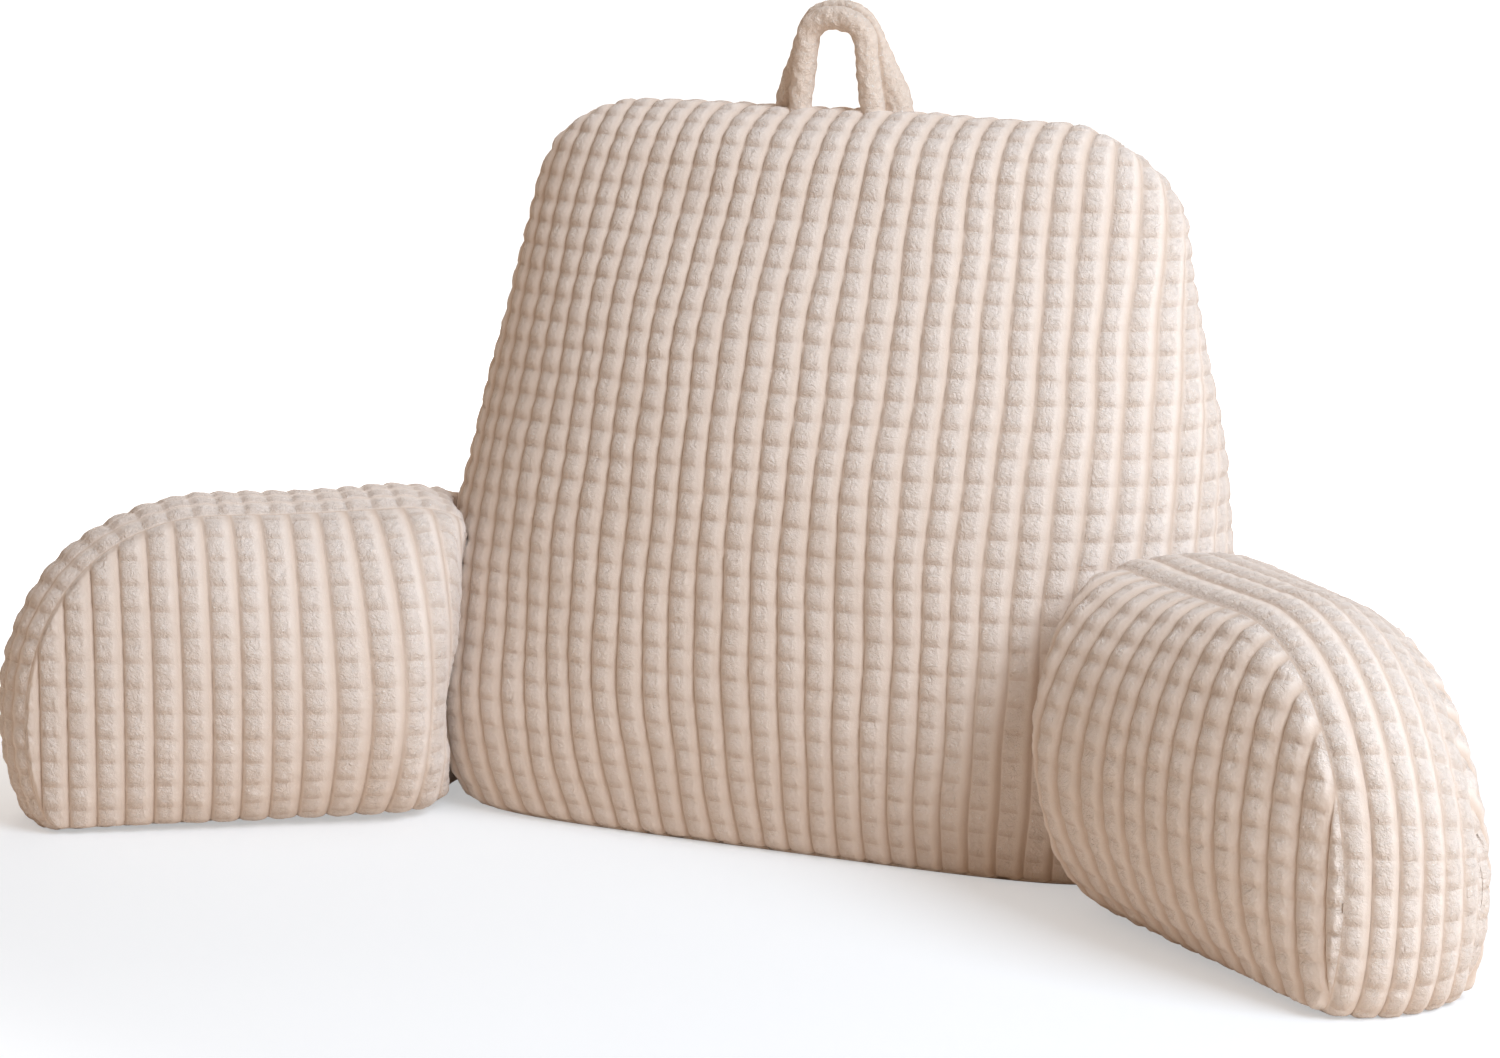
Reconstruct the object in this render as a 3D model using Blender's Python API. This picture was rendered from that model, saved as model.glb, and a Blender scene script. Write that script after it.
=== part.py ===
"""A reading pillow with arms, in metres, +Z up, front towards -Y.

The pillow is four sewn and stuffed pieces in wide-ribbed plush cloth. The back cushion is a wedge
with a bulging front, a rounded top and flat base. An arm is sewn to each of its sides and spreads
outward and forward: two crowned panels joined by a band that runs over the top, round the nose and
under the base. A folded cloth handle is sewn into the seam along the top.

The ribs stand in the faces' points: a crest and a groove for each rib. Ribs run up the panels, and
lengthwise round the bands of the arms.
"""

import math

import bmesh
import bpy
import numpy as np

# Cloth
RIB_PITCH = 0.020
RIB_CREST = 0.0020
RIB_GROOVE = 0.0040
SEAM_SINK = 0.0030
SEAM_FADE = 0.012
FLOOR_FADE = 0.014
SEWN_GAP = 0.0008
ROOT_GAP = 0.0012

# Back cushion. The crown is the rounded stretch between crown_start and the ridge seam.
BACK_HEIGHT = 0.486
CROWN_HEIGHT = 0.073
CROWN_ROUNDNESS = 1.80
CORNER_RADIUS = 0.087
# how steeply the front leans back where the crown starts, which the crown takes over smoothly
CROWN_LEAN = 0.60
RIDGE_TILT = -0.030
CROWN_SWAY = -0.006
TILT_START = 0.250
SEAM_ANGLE = math.radians(48.0)
BACK_SHIFT = -0.0339
# how much closer the ribs run at the ridge and at the floor, and the heights where that begins
RIDGE_CLOSING = 0.085
RIDGE_CLOSING_FROM = 0.250
FLOOR_CLOSING = 0.070
FLOOR_CLOSING_FROM = 0.140
# height, front y, rear y, half width, squareness of the front half, squareness of the rear half
BACK_SECTIONS = (
    (0.000, 0.022, 0.212, 0.246, 5.0, 3.4),
    (0.030, 0.011, 0.226, 0.266, 5.0, 3.2),
    (0.070, 0.002, 0.231, 0.274, 4.4, 2.9),
    (0.120, 0.000, 0.234, 0.278, 3.4, 2.6),
    (0.180, 0.003, 0.236, 0.286, 2.6, 2.4),
    (0.250, 0.012, 0.238, 0.278, 2.1, 2.3),
    (0.345, 0.045, 0.236, 0.258, 2.0, 2.15),
    (0.413, 0.083, 0.233, 0.245, 2.0, 2.1),
)
BACK_LEVELS = (0.0, 0.008, 0.024, 0.048, 0.080, 0.120, 0.162, 0.205, 0.250, 0.292, 0.330, 0.362, 0.390)
CROWN_RINGS = 6

# Arms. A lies along the arm from its root to the nose, V across it towards the outer side.
ARM_SPLAY = math.radians(48.5)
ARM_START = (0.245, 0.019)
ARM_LENGTH = 0.290
ARM_NOSE_HEIGHT = 0.073
ARM_TOE_ROUND = 0.026
ARM_TOE_POWER = 2.0
# side of the arm: seam height, length of the rounding from the top to the nose, its roundness
INNER_SIDE = (0.215, 0.126, 2.1)
OUTER_SIDE = (0.201, 0.155, 1.97)
ARM_THICKNESS_ROOT = 0.126
ARM_THICKNESS_NOSE = 0.090
# how the inner side bulges: its height, how quickly it rises from the nose, and its slope beyond
INNER_CROWN = (0.040, 0.087, 0.13)
OUTER_CROWN = 0.030
OUTER_CROWN_RUN = 0.139
CROWN_POWER = 0.6
BAND_BULGE_TOP = 0.012
BAND_BULGE_NOSE = 0.013
# Where the arm meets the back: its rounding, how far its inner side is drawn in and down, how its
# ribs bow, and the share of its height below which its end stands upright.
ROOT_RUN = 0.042
ROOT_TUCK = 0.016
ROOT_DIP = 0.012
ROOT_BOW = 0.010
ROOT_BOW_RUN = 0.120
ROOT_HOLD_LEVEL = 0.42
ROOT_FLARE = 0.005
ROOT_FLARE_RUN = 0.050
ROOT_REACH = 0.130
ROOT_TAPER = 0.8
PANEL_ROWS = 13
FIRST_GROOVE = 0.012
ARM_RIB_STEPS = 50
CLOTH_STEPS = 4000
BAND_RIBS = 6
NOSE_STEPS = (0.0065, 0.0035, 0.0014, 0.0004, 0.0)

# Handle: a strap folded lengthwise into two soft lobes, sewn in at both ends.
HANDLE_CENTRE = -0.012
HANDLE_HALF_SPREAD = 0.0277
HANDLE_SHOULDER = 0.0230
HANDLE_LEG = 0.038
HANDLE_ARCH = 0.024
HANDLE_SQUARENESS = 2.5
HANDLE_LOBE = 0.0085
HANDLE_BASE_FOLD = (0.015, 0.013, 0.0)
HANDLE_TOP_FOLD = (-0.003, 0.011, 0.004)
HANDLE_FRONT = -0.006
LEG_STEPS = 6
ARCH_STEPS = 12
LOBE_STEPS = 7

CLOTH_COLOUR = (0.80, 0.70, 0.60, 1.0)
HANDLE_COLOUR = (0.78, 0.67, 0.57, 1.0)
CLOTH_ROUGHNESS = 0.95
MERGE_DISTANCE = 0.00002
ROOT_HALVINGS = 40
OUTLINE_POINTS = 181


def clear_scene():
    for obj in list(bpy.data.objects):
        bpy.data.objects.remove(obj, do_unlink=True)


def make_material(name, colour):
    material = bpy.data.materials.new(name)
    material.use_nodes = True
    shader = material.node_tree.nodes["Principled BSDF"]
    shader.inputs["Base Color"].default_value = colour
    shader.inputs["Roughness"].default_value = CLOTH_ROUGHNESS
    shader.inputs["Sheen Weight"].default_value = 0.5
    return material


def smooth_step(value):
    value = np.clip(value, 0.0, 1.0)
    return value * value * (3.0 - 2.0 * value)


def smooth_column(heights, values, height):
    """A smooth curve through a table's column, read at a height."""
    heights = np.asarray(heights, float)
    values = np.asarray(values, float)
    runs = np.diff(heights)
    slopes = np.diff(values) / runs
    tangents = np.empty_like(values)
    tangents[1:-1] = (slopes[:-1] * runs[1:] + slopes[1:] * runs[:-1]) / (runs[1:] + runs[:-1])
    tangents[0] = 1.5 * slopes[0] - 0.5 * tangents[1]
    tangents[-1] = 1.5 * slopes[-1] - 0.5 * tangents[-2]
    at = np.clip(np.searchsorted(heights, height, side="right") - 1, 0, len(runs) - 1)
    t = (height - heights[at]) / runs[at]
    rise = values[at] * (1 + 2 * t) * (1 - t) ** 2 + values[at + 1] * t * t * (3 - 2 * t)
    lean = tangents[at] * t * (1 - t) ** 2 + tangents[at + 1] * t * t * (t - 1)
    return rise + runs[at] * lean


def round_off(share, power):
    """Height of a superellipse of unit size at a share of its width."""
    return (1.0 - np.clip(share, 0.0, 1.0) ** power) ** (1.0 / power)


def back_section(height):
    """Middle y, half depth, half width and the two squarenesses of the back at a height."""
    crown_start = BACK_HEIGHT - CROWN_HEIGHT
    table = np.array(BACK_SECTIONS)
    low = min(height, crown_start)
    front, rear, half_width, square_front, square_rear = (
        float(smooth_column(table[:, 0], table[:, column], low)) for column in range(1, 6)
    )
    share = min(max((height - crown_start) / CROWN_HEIGHT, 0.0), 1.0)
    shrink = float(round_off(share, CROWN_ROUNDNESS))
    half_width -= CORNER_RADIUS * (1.0 - shrink)
    lean = CROWN_LEAN * CROWN_HEIGHT * share * (1.0 - share) ** 2
    middle = (front + rear + lean) / 2.0
    half_depth = ((rear - front) * shrink - lean) / 2.0
    return middle, half_depth, half_width, square_front, square_rear


def back_half_outline(height):
    """The right half of the outline at a height, from front centre to rear centre, and its angles."""
    middle, half_depth, half_width, square_front, square_rear = back_section(height)
    angle = np.linspace(-math.pi / 2, math.pi / 2, OUTLINE_POINTS)
    power = np.where(angle < 0.0, 2.0 / square_front, 2.0 / square_rear)
    x = half_width * np.abs(np.cos(angle)) ** power
    y = middle + half_depth * np.sign(angle) * np.abs(np.sin(angle)) ** power
    return np.stack([x, y], axis=1), angle


def seam_angle(height):
    """The seam lies on the rear corner, and runs up over the crown's corner to the ridge."""
    crown_start = BACK_HEIGHT - CROWN_HEIGHT
    share = min(max((height - crown_start) / CROWN_HEIGHT, 0.0), 1.0)
    return SEAM_ANGLE * (1.0 - share)


def rib_relief(run, seam_distance, height):
    """How far the cloth stands off the mean surface: crests and grooves, flat by seams and floor."""
    wave = np.cos(2.0 * math.pi * run / RIB_PITCH)
    relief = np.where(wave < 0.0, RIB_CREST * -wave, -RIB_GROOVE * wave)
    at_seam = smooth_step(seam_distance / SEAM_FADE)
    relief = relief * at_seam - SEAM_SINK * (1.0 - at_seam)
    return relief * smooth_step(height / FLOOR_FADE)


def rib_spread(height):
    """How far apart the back's ribs run at a height, as a share of their full pitch."""
    high = max(height - RIDGE_CLOSING_FROM, 0.0) / (BACK_HEIGHT - RIDGE_CLOSING_FROM)
    low = max(FLOOR_CLOSING_FROM - height, 0.0) / FLOOR_CLOSING_FROM
    return 1.0 - RIDGE_CLOSING * high**2 - FLOOR_CLOSING * low**2


def snapped(run, limit):
    """Runs along the cloth held inside the seams, and set on a seam when they come close to it."""
    held = np.clip(run, -limit, limit)
    near = limit - np.abs(held) < RIB_PITCH / 8.0
    return np.where(near, np.sign(held) * limit, held)


def back_ring(height, steps):
    """One ring of the back: the front panel from left to right, then the rear panel right to left."""
    outline, angle = back_half_outline(height)
    in_crown = height > BACK_HEIGHT - CROWN_HEIGHT
    to_ridge = back_section(height)[1] if in_crown else SEAM_FADE
    arc = np.append(0.0, np.cumsum(np.linalg.norm(np.diff(outline, axis=0), axis=1)))
    seam = float(np.interp(seam_angle(height), angle, arc))
    spread = rib_spread(height)
    ring = []
    for sign, limit, from_rear in ((1.0, seam, False), (-1.0, arc[-1] - seam, True)):
        run = sign * snapped(np.arange(-steps, steps + 1) * RIB_PITCH / 2.0 * spread, limit)
        place = arc[-1] - np.abs(run) if from_rear else np.abs(run)
        x = np.sign(run) * np.interp(place, arc, outline[:, 0])
        y = np.interp(place, arc, outline[:, 1])
        lift = float(smooth_step((height - TILT_START) / (BACK_HEIGHT - TILT_START)))
        rise = RIDGE_TILT * x * lift
        x = x + CROWN_SWAY * lift
        relief = rib_relief(run / spread, np.minimum(limit - np.abs(run), to_ridge), height)
        ring.append(np.stack([x, y, height + rise, relief], axis=1))
    return np.concatenate(ring)


def grid_faces(rows, columns, closed):
    faces = []
    for row in range(rows - 1):
        for column in range(columns if closed else columns - 1):
            following = (column + 1) % columns
            first = row * columns
            second = first + columns
            faces.append((first + column, first + following, second + following, second + column))
    return faces


def cushion_object(name, points, faces, material):
    """A closed cushion from points with a fourth column, the relief that each stands off by."""
    graph = bmesh.new()
    relief_layer = graph.verts.layers.float.new("relief")
    corners = []
    for x, y, z, relief in points:
        corner = graph.verts.new((x, y, z))
        corner[relief_layer] = relief
        corners.append(corner)
    for face in faces:
        graph.faces.new([corners[index] for index in face])
    bmesh.ops.remove_doubles(graph, verts=graph.verts, dist=MERGE_DISTANCE)
    bmesh.ops.dissolve_degenerate(graph, edges=graph.edges, dist=MERGE_DISTANCE)
    bmesh.ops.recalc_face_normals(graph, faces=graph.faces)
    graph.normal_update()
    moves = [corner.normal * corner[relief_layer] for corner in graph.verts]
    for corner, move in zip(graph.verts, moves):
        corner.co += move
        corner.co.z = max(corner.co.z, 0.0)
        corner.co.y += BACK_SHIFT
    return mesh_object(name, graph, material)


def mesh_object(name, graph, material):
    bmesh.ops.triangulate(graph, faces=graph.faces)
    mesh = bpy.data.meshes.new(name)
    graph.to_mesh(mesh)
    graph.free()
    mesh.materials.append(material)
    mesh.shade_smooth()
    obj = bpy.data.objects.new(name, mesh)
    bpy.context.scene.collection.objects.link(obj)
    return obj


def build_back(material):
    crown_start = BACK_HEIGHT - CROWN_HEIGHT
    bends = np.linspace(0.0, math.pi / 2.0, CROWN_RINGS + 1)
    heights = list(BACK_LEVELS) + list(crown_start + CROWN_HEIGHT * np.sin(bends))
    widest, _ = back_half_outline(BACK_SECTIONS[4][0])
    steps = math.ceil(np.linalg.norm(np.diff(widest, axis=0), axis=1).sum() / RIB_PITCH * 2.0) + 2
    rings = [back_ring(height, steps) for height in heights]
    count = len(rings[0])
    faces = grid_faces(len(rings), count, closed=True)
    faces.append(tuple(range(count)))
    return cushion_object("back_cushion", np.concatenate(rings), faces, material)


def arm_side(across):
    """Seam height, rounding length and roundness between the inner side, 0, and the outer side, 1."""
    return tuple(inner + (outer - inner) * across for inner, outer in zip(INNER_SIDE, OUTER_SIDE))


def arm_profile(a, across):
    """Lowest and highest point of the arm's outline at A, at a share of the way across."""
    height, top_round, roundness = arm_side(across)
    top_share = (a - ARM_LENGTH + top_round) / top_round
    toe_share = (a - ARM_LENGTH + ARM_TOE_ROUND) / ARM_TOE_ROUND
    top = ARM_NOSE_HEIGHT + (height - ARM_NOSE_HEIGHT) * round_off(top_share, roundness)
    toe = ARM_NOSE_HEIGHT * (1.0 - round_off(toe_share, ARM_TOE_POWER))
    return toe, top


def arm_thickness(a):
    """The arm tapers towards its nose, and narrows again where it turns in to the back's side."""
    share = np.clip(a / ARM_LENGTH, 0.0, 1.0)
    taper = ARM_THICKNESS_ROOT + (ARM_THICKNESS_NOSE - ARM_THICKNESS_ROOT) * share
    return taper + ROOT_TAPER * np.minimum(a, 0.0)


def arm_place(a, v):
    """World x and y of a place on the right arm."""
    x = ARM_START[0] + a * math.sin(ARM_SPLAY) + v * math.cos(ARM_SPLAY)
    y = ARM_START[1] - a * math.cos(ARM_SPLAY) + v * math.sin(ARM_SPLAY)
    return x, y


def outside_back(x, y, z, clearance):
    """Positive where a point is outside the back's side, grown by a clearance."""
    middle, half_depth, half_width, square_front, square_rear = back_section(z)
    square = square_front if y < middle else square_rear
    width = half_width + clearance
    depth = half_depth + clearance
    return (abs(x) / width) ** square + (abs(y - middle) / depth) ** square - 1.0


def arm_root(across, height):
    """The A at which a line along the arm meets the back's side. Across is a share of thickness."""
    low, high = -ROOT_REACH, ROOT_REACH
    for _ in range(ROOT_HALVINGS):
        a = (low + high) / 2.0
        x, y = arm_place(a, across * float(arm_thickness(a)) + ROOT_TUCK * (1.0 - across))
        if outside_back(x, y, height, RIB_CREST + ROOT_GAP) > 0.0:
            high = a
        else:
            low = a
    return high


def arm_roots(levels, across):
    """Where the arm ends, by level and share across. Its lowest part stands upright by the back."""
    roots = np.empty((len(levels), len(across)))
    for row, level in enumerate(levels):
        for column, share in enumerate(across):
            height = level * (arm_side(share)[0] - ROOT_DIP * (1.0 - share))
            roots[row, column] = arm_root(float(share), float(height))
    held = roots[np.searchsorted(levels, ROOT_HOLD_LEVEL)]
    return np.where(levels[:, None] < ROOT_HOLD_LEVEL, np.maximum(roots, held), roots)


def upright_fullness(level):
    """Roundness of a side panel from its base, level 0, to its top seam, level 1."""
    return np.clip(1.0 - (2.0 * level - 1.0) ** 2, 0.0, 1.0) ** CROWN_POWER


def root_fullness(a, root):
    from_root = np.clip((a - root) / ROOT_RUN, 0.0, 1.0)
    return np.sqrt(1.0 - (1.0 - from_root) ** 2)


def root_draw(a, root, across):
    """How far the inner side is drawn in, and its top seam down, close to the back."""
    near = (1.0 - root_fullness(a, root)) * (1.0 - across)
    return ROOT_TUCK * near, ROOT_DIP * near


def root_bow(a, root, level):
    """How far the middle of a rib bows towards the back, near the back."""
    share = np.clip((a - root) / ROOT_BOW_RUN, 0.0, 1.0)
    return ROOT_BOW * 4.0 * level * (1.0 - level) * 6.75 * share * (1.0 - share) ** 2


def inner_crown(a):
    height, rise, slope = INNER_CROWN
    from_nose = np.maximum(ARM_LENGTH - a, 0.0)
    return height * (1.0 - np.exp(-from_nose / rise)) + slope * from_nose


def outer_crown(a):
    return OUTER_CROWN * round_off((a - ARM_LENGTH + OUTER_CROWN_RUN) / OUTER_CROWN_RUN, 2.0)


def cloth_from_nose():
    """Places along the arm from the nose, and the length of the inner side's cloth up to each."""
    a = ARM_LENGTH - (ARM_LENGTH + ROOT_REACH) * np.linspace(0.0, 1.0, CLOTH_STEPS) ** 2
    swell = inner_crown(a) * root_fullness(a, 0.0)
    return a, np.append(0.0, np.cumsum(np.hypot(np.diff(a), np.diff(swell))))


def arm_runs(columns, root):
    """Places along the arm held to the back's side, and set on it when they come close."""
    a = np.maximum(columns, root)
    return np.where(a - root < RIB_PITCH / 8.0, root, a)


def root_flare(a, root):
    return ROOT_FLARE * np.exp(-(a - root) / ROOT_FLARE_RUN)


def arm_points(side, a, v, z, relief):
    x, y = arm_place(a, v)
    return np.stack(np.broadcast_arrays(side * x, y, z, relief), axis=-1)


def side_panel(side, across, columns, runs, levels, roots):
    """The inner panel, across 0, or the outer panel, across 1."""
    root = roots[:, -1 if across else 0][:, None]
    level = levels[:, None]
    held = arm_runs(columns[None, :], root)
    a = held - root_bow(held, root, level) * (1.0 - across)
    toe, top = arm_profile(a, across)
    z = toe + (top - toe) * level
    crown = across * outer_crown(a) - (1.0 - across) * inner_crown(a)
    tuck, dip = root_draw(a, root, across)
    swell = crown * upright_fullness(level) * root_fullness(a, root) + tuck
    edge = np.minimum(np.minimum(z - toe, top - z), 2.0 * (ARM_LENGTH - a))
    relief = rib_relief(runs[None, :], np.minimum(edge, a - root), z)
    z = z + root_flare(a, root) * level**2 - dip * level
    return arm_points(side, a, across * arm_thickness(a) + swell, z, relief)


def arm_band(side, columns, across, roots):
    """The band between the side panels: over the top, round the nose and back under the base."""
    over = arm_runs(columns[:, None], roots[-1][None, :])
    under = arm_runs(columns[-2::-1, None], roots[0][None, :])
    a = np.concatenate([over, under])
    root = np.concatenate([np.broadcast_to(roots[-1], over.shape), np.broadcast_to(roots[0], under.shape)])
    tuck, _ = root_draw(a, root, across)
    _, dip = root_draw(over, roots[-1], across)
    top = arm_profile(over, across)[1] + root_flare(over, roots[-1]) - dip
    z = np.concatenate([top, arm_profile(under, across)[0]])
    along_a = np.gradient(a, axis=0)
    along_z = np.gradient(z, axis=0)
    length = np.maximum(np.hypot(along_a, along_z), MERGE_DISTANCE)
    out_a = -along_z / length
    out_z = along_a / length
    bulge = BAND_BULGE_TOP * np.maximum(out_z, 0.0) + BAND_BULGE_NOSE * np.maximum(out_a, 0.0)
    bulge = bulge * (1.0 - (2.0 * across - 1.0) ** 2) * root_fullness(a, root)
    thickness = arm_thickness(a)
    to_seam = np.minimum(across, 1.0 - across) * thickness
    relief = rib_relief(across * BAND_RIBS * RIB_PITCH, np.minimum(to_seam, a - root), z)
    swollen_z = np.maximum(z + out_z * bulge, 0.0)
    return arm_points(side, a + out_a * bulge, across * thickness + tuck, swollen_z, relief)


def arm_end(side, levels, across, roots):
    """The end that lies against the back's side, as hollow as that side is round."""
    level = levels[:, None]
    v = across * arm_thickness(roots) + ROOT_TUCK * (1.0 - across)
    z = (arm_side(across)[0] - ROOT_DIP * (1.0 - across)) * level + ROOT_FLARE * level**2
    inner = np.zeros(roots.shape)
    inner[1:-1, 1:-1] = 1.0
    relief = rib_relief(0.0, inner * SEAM_FADE, z) * (1.0 - inner)
    return arm_points(side, roots, v, z, relief)


def build_arm(name, side, material):
    places, cloth = cloth_from_nose()
    ribs = FIRST_GROOVE + RIB_PITCH / 2.0 * np.arange(ARM_RIB_STEPS)
    columns = np.append(np.interp(ribs, cloth, places)[::-1], ARM_LENGTH - np.array(NOSE_STEPS))
    runs = np.interp(-columns, -places, cloth) - FIRST_GROOVE
    levels = np.linspace(0.0, 1.0, PANEL_ROWS)
    across = np.linspace(0.0, 1.0, 2 * BAND_RIBS + 1)
    roots = arm_roots(levels, across)
    grids = (
        side_panel(side, 0.0, columns, runs, levels, roots),
        side_panel(side, 1.0, columns, runs, levels, roots),
        arm_band(side, columns, across, roots),
        arm_end(side, levels, across, roots),
    )
    points = []
    faces = []
    for grid in grids:
        rows, count, _ = grid.shape
        offset = len(points)
        points.extend(grid.reshape(-1, 4).tolist())
        for face in grid_faces(rows, count, closed=False):
            faces.append(tuple(index + offset for index in face))
    return cushion_object(name, points, faces, material)


def crown_top(x, y):
    """Height of the crests on the back's crown over a place near its ridge seam."""
    middle, _, _, _, _ = back_section(BACK_HEIGHT)
    half_depth = (back_section(BACK_HEIGHT - CROWN_HEIGHT))[1]
    from_ridge = abs(y - middle)
    rise = CROWN_HEIGHT * float(round_off(from_ridge / half_depth, CROWN_ROUNDNESS))
    crest = (RIB_CREST + SEAM_SINK) * float(smooth_step(from_ridge / SEAM_FADE)) - SEAM_SINK
    return BACK_HEIGHT - CROWN_HEIGHT + rise + crest + RIDGE_TILT * (x - CROWN_SWAY)


def handle_path():
    """Middle of the front lobe: up one leg, over the arch and down the other, with its height share."""
    lift = np.linspace(0.0, HANDLE_LEG, LEG_STEPS + 1)[:-1]
    spread = HANDLE_HALF_SPREAD + (HANDLE_SHOULDER - HANDLE_HALF_SPREAD) * lift / HANDLE_LEG
    bends = np.linspace(0.0, math.pi, ARCH_STEPS + 1)
    across = -np.sign(np.cos(bends)) * np.abs(np.cos(bends)) ** (2.0 / HANDLE_SQUARENESS)
    arch = HANDLE_ARCH * np.sin(bends) ** (2.0 / HANDLE_SQUARENESS)
    offset = np.concatenate([-spread, HANDLE_SHOULDER * across, spread[::-1]])
    return np.stack([offset, np.concatenate([lift, HANDLE_LEG + arch, lift[::-1]])], axis=1)


def lobe_outline():
    """Section of the folded strap: two round lobes that meet in a lengthwise crease.

    Each point is a share of the fold from the front lobe's middle to the rear lobe's, and offsets
    along the fold and along the strap's face.
    """
    turns = np.linspace(math.radians(50.0), math.radians(310.0), LOBE_STEPS)
    front = [(0.0, math.cos(turn), math.sin(turn)) for turn in turns]
    rear = [(1.0, math.cos(turn), math.sin(turn)) for turn in turns - math.pi]
    return front + rear


def build_handle(material):
    middle, _, _, _, _ = back_section(BACK_HEIGHT)
    path = handle_path()
    steps = np.gradient(path, axis=0)
    graph = bmesh.new()
    rings = []
    for (offset, rise), (run_x, run_z) in zip(path, steps):
        share = min(rise / (HANDLE_LEG + HANDLE_ARCH), 1.0)
        outward = offset / HANDLE_HALF_SPREAD
        base = np.array(HANDLE_BASE_FOLD) * (outward, 1.0, 1.0)
        top = np.array(HANDLE_TOP_FOLD)
        blend = float(smooth_step(share))
        fold = base * (1.0 - blend) + top * blend
        fold_way = fold / np.linalg.norm(fold)
        tangent = np.array([run_x, 0.0, run_z]) / math.hypot(run_x, run_z)
        face_way = np.cross(tangent, fold_way)
        face_way /= np.linalg.norm(face_way)
        centre = np.array([HANDLE_CENTRE + offset, middle + HANDLE_FRONT, 0.0])
        ring = []
        for lobe, along, facing in lobe_outline():
            point = centre + fold * lobe + HANDLE_LOBE * (fold_way * along + face_way * facing)
            seat = crown_top(point[0], point[1]) + SEWN_GAP
            ring.append(graph.verts.new((point[0], point[1] + BACK_SHIFT, seat + rise + point[2])))
        rings.append(ring)
    for low, high in zip(rings, rings[1:]):
        for index in range(len(low)):
            following = (index + 1) % len(low)
            graph.faces.new((low[index], low[following], high[following], high[index]))
    graph.faces.new(rings[0])
    graph.faces.new(rings[-1])
    bmesh.ops.recalc_face_normals(graph, faces=graph.faces)
    return mesh_object("handle", graph, material)


def main():
    clear_scene()
    cloth = make_material("ribbed_plush", CLOTH_COLOUR)
    strap = make_material("plain_plush", HANDLE_COLOUR)
    build_back(cloth)
    build_arm("arm_left", -1.0, cloth)
    build_arm("arm_right", 1.0, cloth)
    build_handle(strap)


main()
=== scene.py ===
"""Looks of a reading pillow with arms: its ribbed plush cushions, its handle and a plain stage.

Laid out as an add-on. Lengths are in metres, +Z up, front towards -Y, the right arm towards +X.
"""

import math

import bmesh
import bpy
import mathutils
import numpy as np
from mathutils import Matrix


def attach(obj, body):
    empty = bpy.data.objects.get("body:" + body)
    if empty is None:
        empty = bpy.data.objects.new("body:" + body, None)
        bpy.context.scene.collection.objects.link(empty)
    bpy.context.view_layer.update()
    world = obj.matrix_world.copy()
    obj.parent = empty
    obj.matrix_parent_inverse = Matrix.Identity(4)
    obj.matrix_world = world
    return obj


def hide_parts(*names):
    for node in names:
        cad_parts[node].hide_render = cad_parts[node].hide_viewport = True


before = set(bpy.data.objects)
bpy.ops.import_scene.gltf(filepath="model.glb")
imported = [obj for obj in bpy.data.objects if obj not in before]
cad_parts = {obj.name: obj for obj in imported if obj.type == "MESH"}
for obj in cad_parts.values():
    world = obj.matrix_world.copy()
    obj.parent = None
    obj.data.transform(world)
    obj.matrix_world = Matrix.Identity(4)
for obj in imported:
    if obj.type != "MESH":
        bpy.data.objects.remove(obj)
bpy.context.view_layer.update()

bl_info = {
    "name": "Reading pillow with arms",
    "version": (1, 0, 0),
    "blender": (4, 5, 0),
    "location": "3D View > Sidebar > Reading pillow",
    "description": "Dresses a reading pillow in ribbed plush cloth and lights it",
    "category": "Object",
}

MAP_NAME = "cloth"

# The back's stuffed shape, close to its solid.
BACK_HEIGHT = 0.486
CROWN_HEIGHT = 0.073
CROWN_START = BACK_HEIGHT - CROWN_HEIGHT
CROWN_ROUNDNESS = 1.80
CORNER_RADIUS = 0.087
CROWN_LEAN = 0.60
RIDGE_TILT = -0.030
CROWN_SWAY = -0.006
TILT_START = 0.250
SEAM_ANGLE = math.radians(48.0)
BACK_SHIFT = -0.0339
WIDEST_HEIGHT = 0.18
# how much closer the ribs run at the ridge and at the floor, and the heights where that begins
RIDGE_CLOSING = 0.085
RIDGE_CLOSING_FROM = 0.250
FLOOR_CLOSING = 0.070
FLOOR_CLOSING_FROM = 0.140
# how deep the back's cells are at the floor, as a share, and the height where they are full
LOW_CELLS = 0.60
LOW_CELLS_UP_TO = 0.330
# how far from a seam a rib strays freely
STRAY_FROM_SEAM = 0.04
# the back's half depth where its ribs begin to stray, and how much more it is where they stray freely
STRAY_FROM_RIDGE = (0.004, 0.05)
# height, front y, rear y, half width, squareness of the front half, squareness of the rear half
BACK_SECTIONS = np.array(
    (
        (0.000, 0.022, 0.212, 0.254, 5.0, 3.4),
        (0.030, 0.011, 0.226, 0.273, 5.0, 3.2),
        (0.070, 0.002, 0.231, 0.279, 4.4, 2.9),
        (0.120, 0.000, 0.234, 0.278, 3.4, 2.6),
        (0.180, 0.003, 0.236, 0.286, 2.6, 2.4),
        (0.250, 0.012, 0.238, 0.278, 2.1, 2.3),
        (0.345, 0.045, 0.236, 0.258, 2.0, 2.15),
        (0.413, 0.083, 0.233, 0.245, 2.0, 2.1),
    )
)

# The arms' stuffed shape, close to their solids. A runs from the back to the nose.
ARM_SPLAY = math.radians(48.5)
ARM_START = (0.245, 0.019)
ARM_LENGTH = 0.290
ARM_NOSE_HEIGHT = 0.073
ARM_TOE_ROUND = 0.026
ARM_TOE_POWER = 2.0
# seam height, length of the rounding from the top to the nose, its roundness
INNER_SIDE = (0.215, 0.126, 2.1)
OUTER_SIDE = (0.201, 0.155, 1.97)
ARM_THICKNESS_ROOT = 0.126
ARM_THICKNESS_NOSE = 0.090
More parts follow.
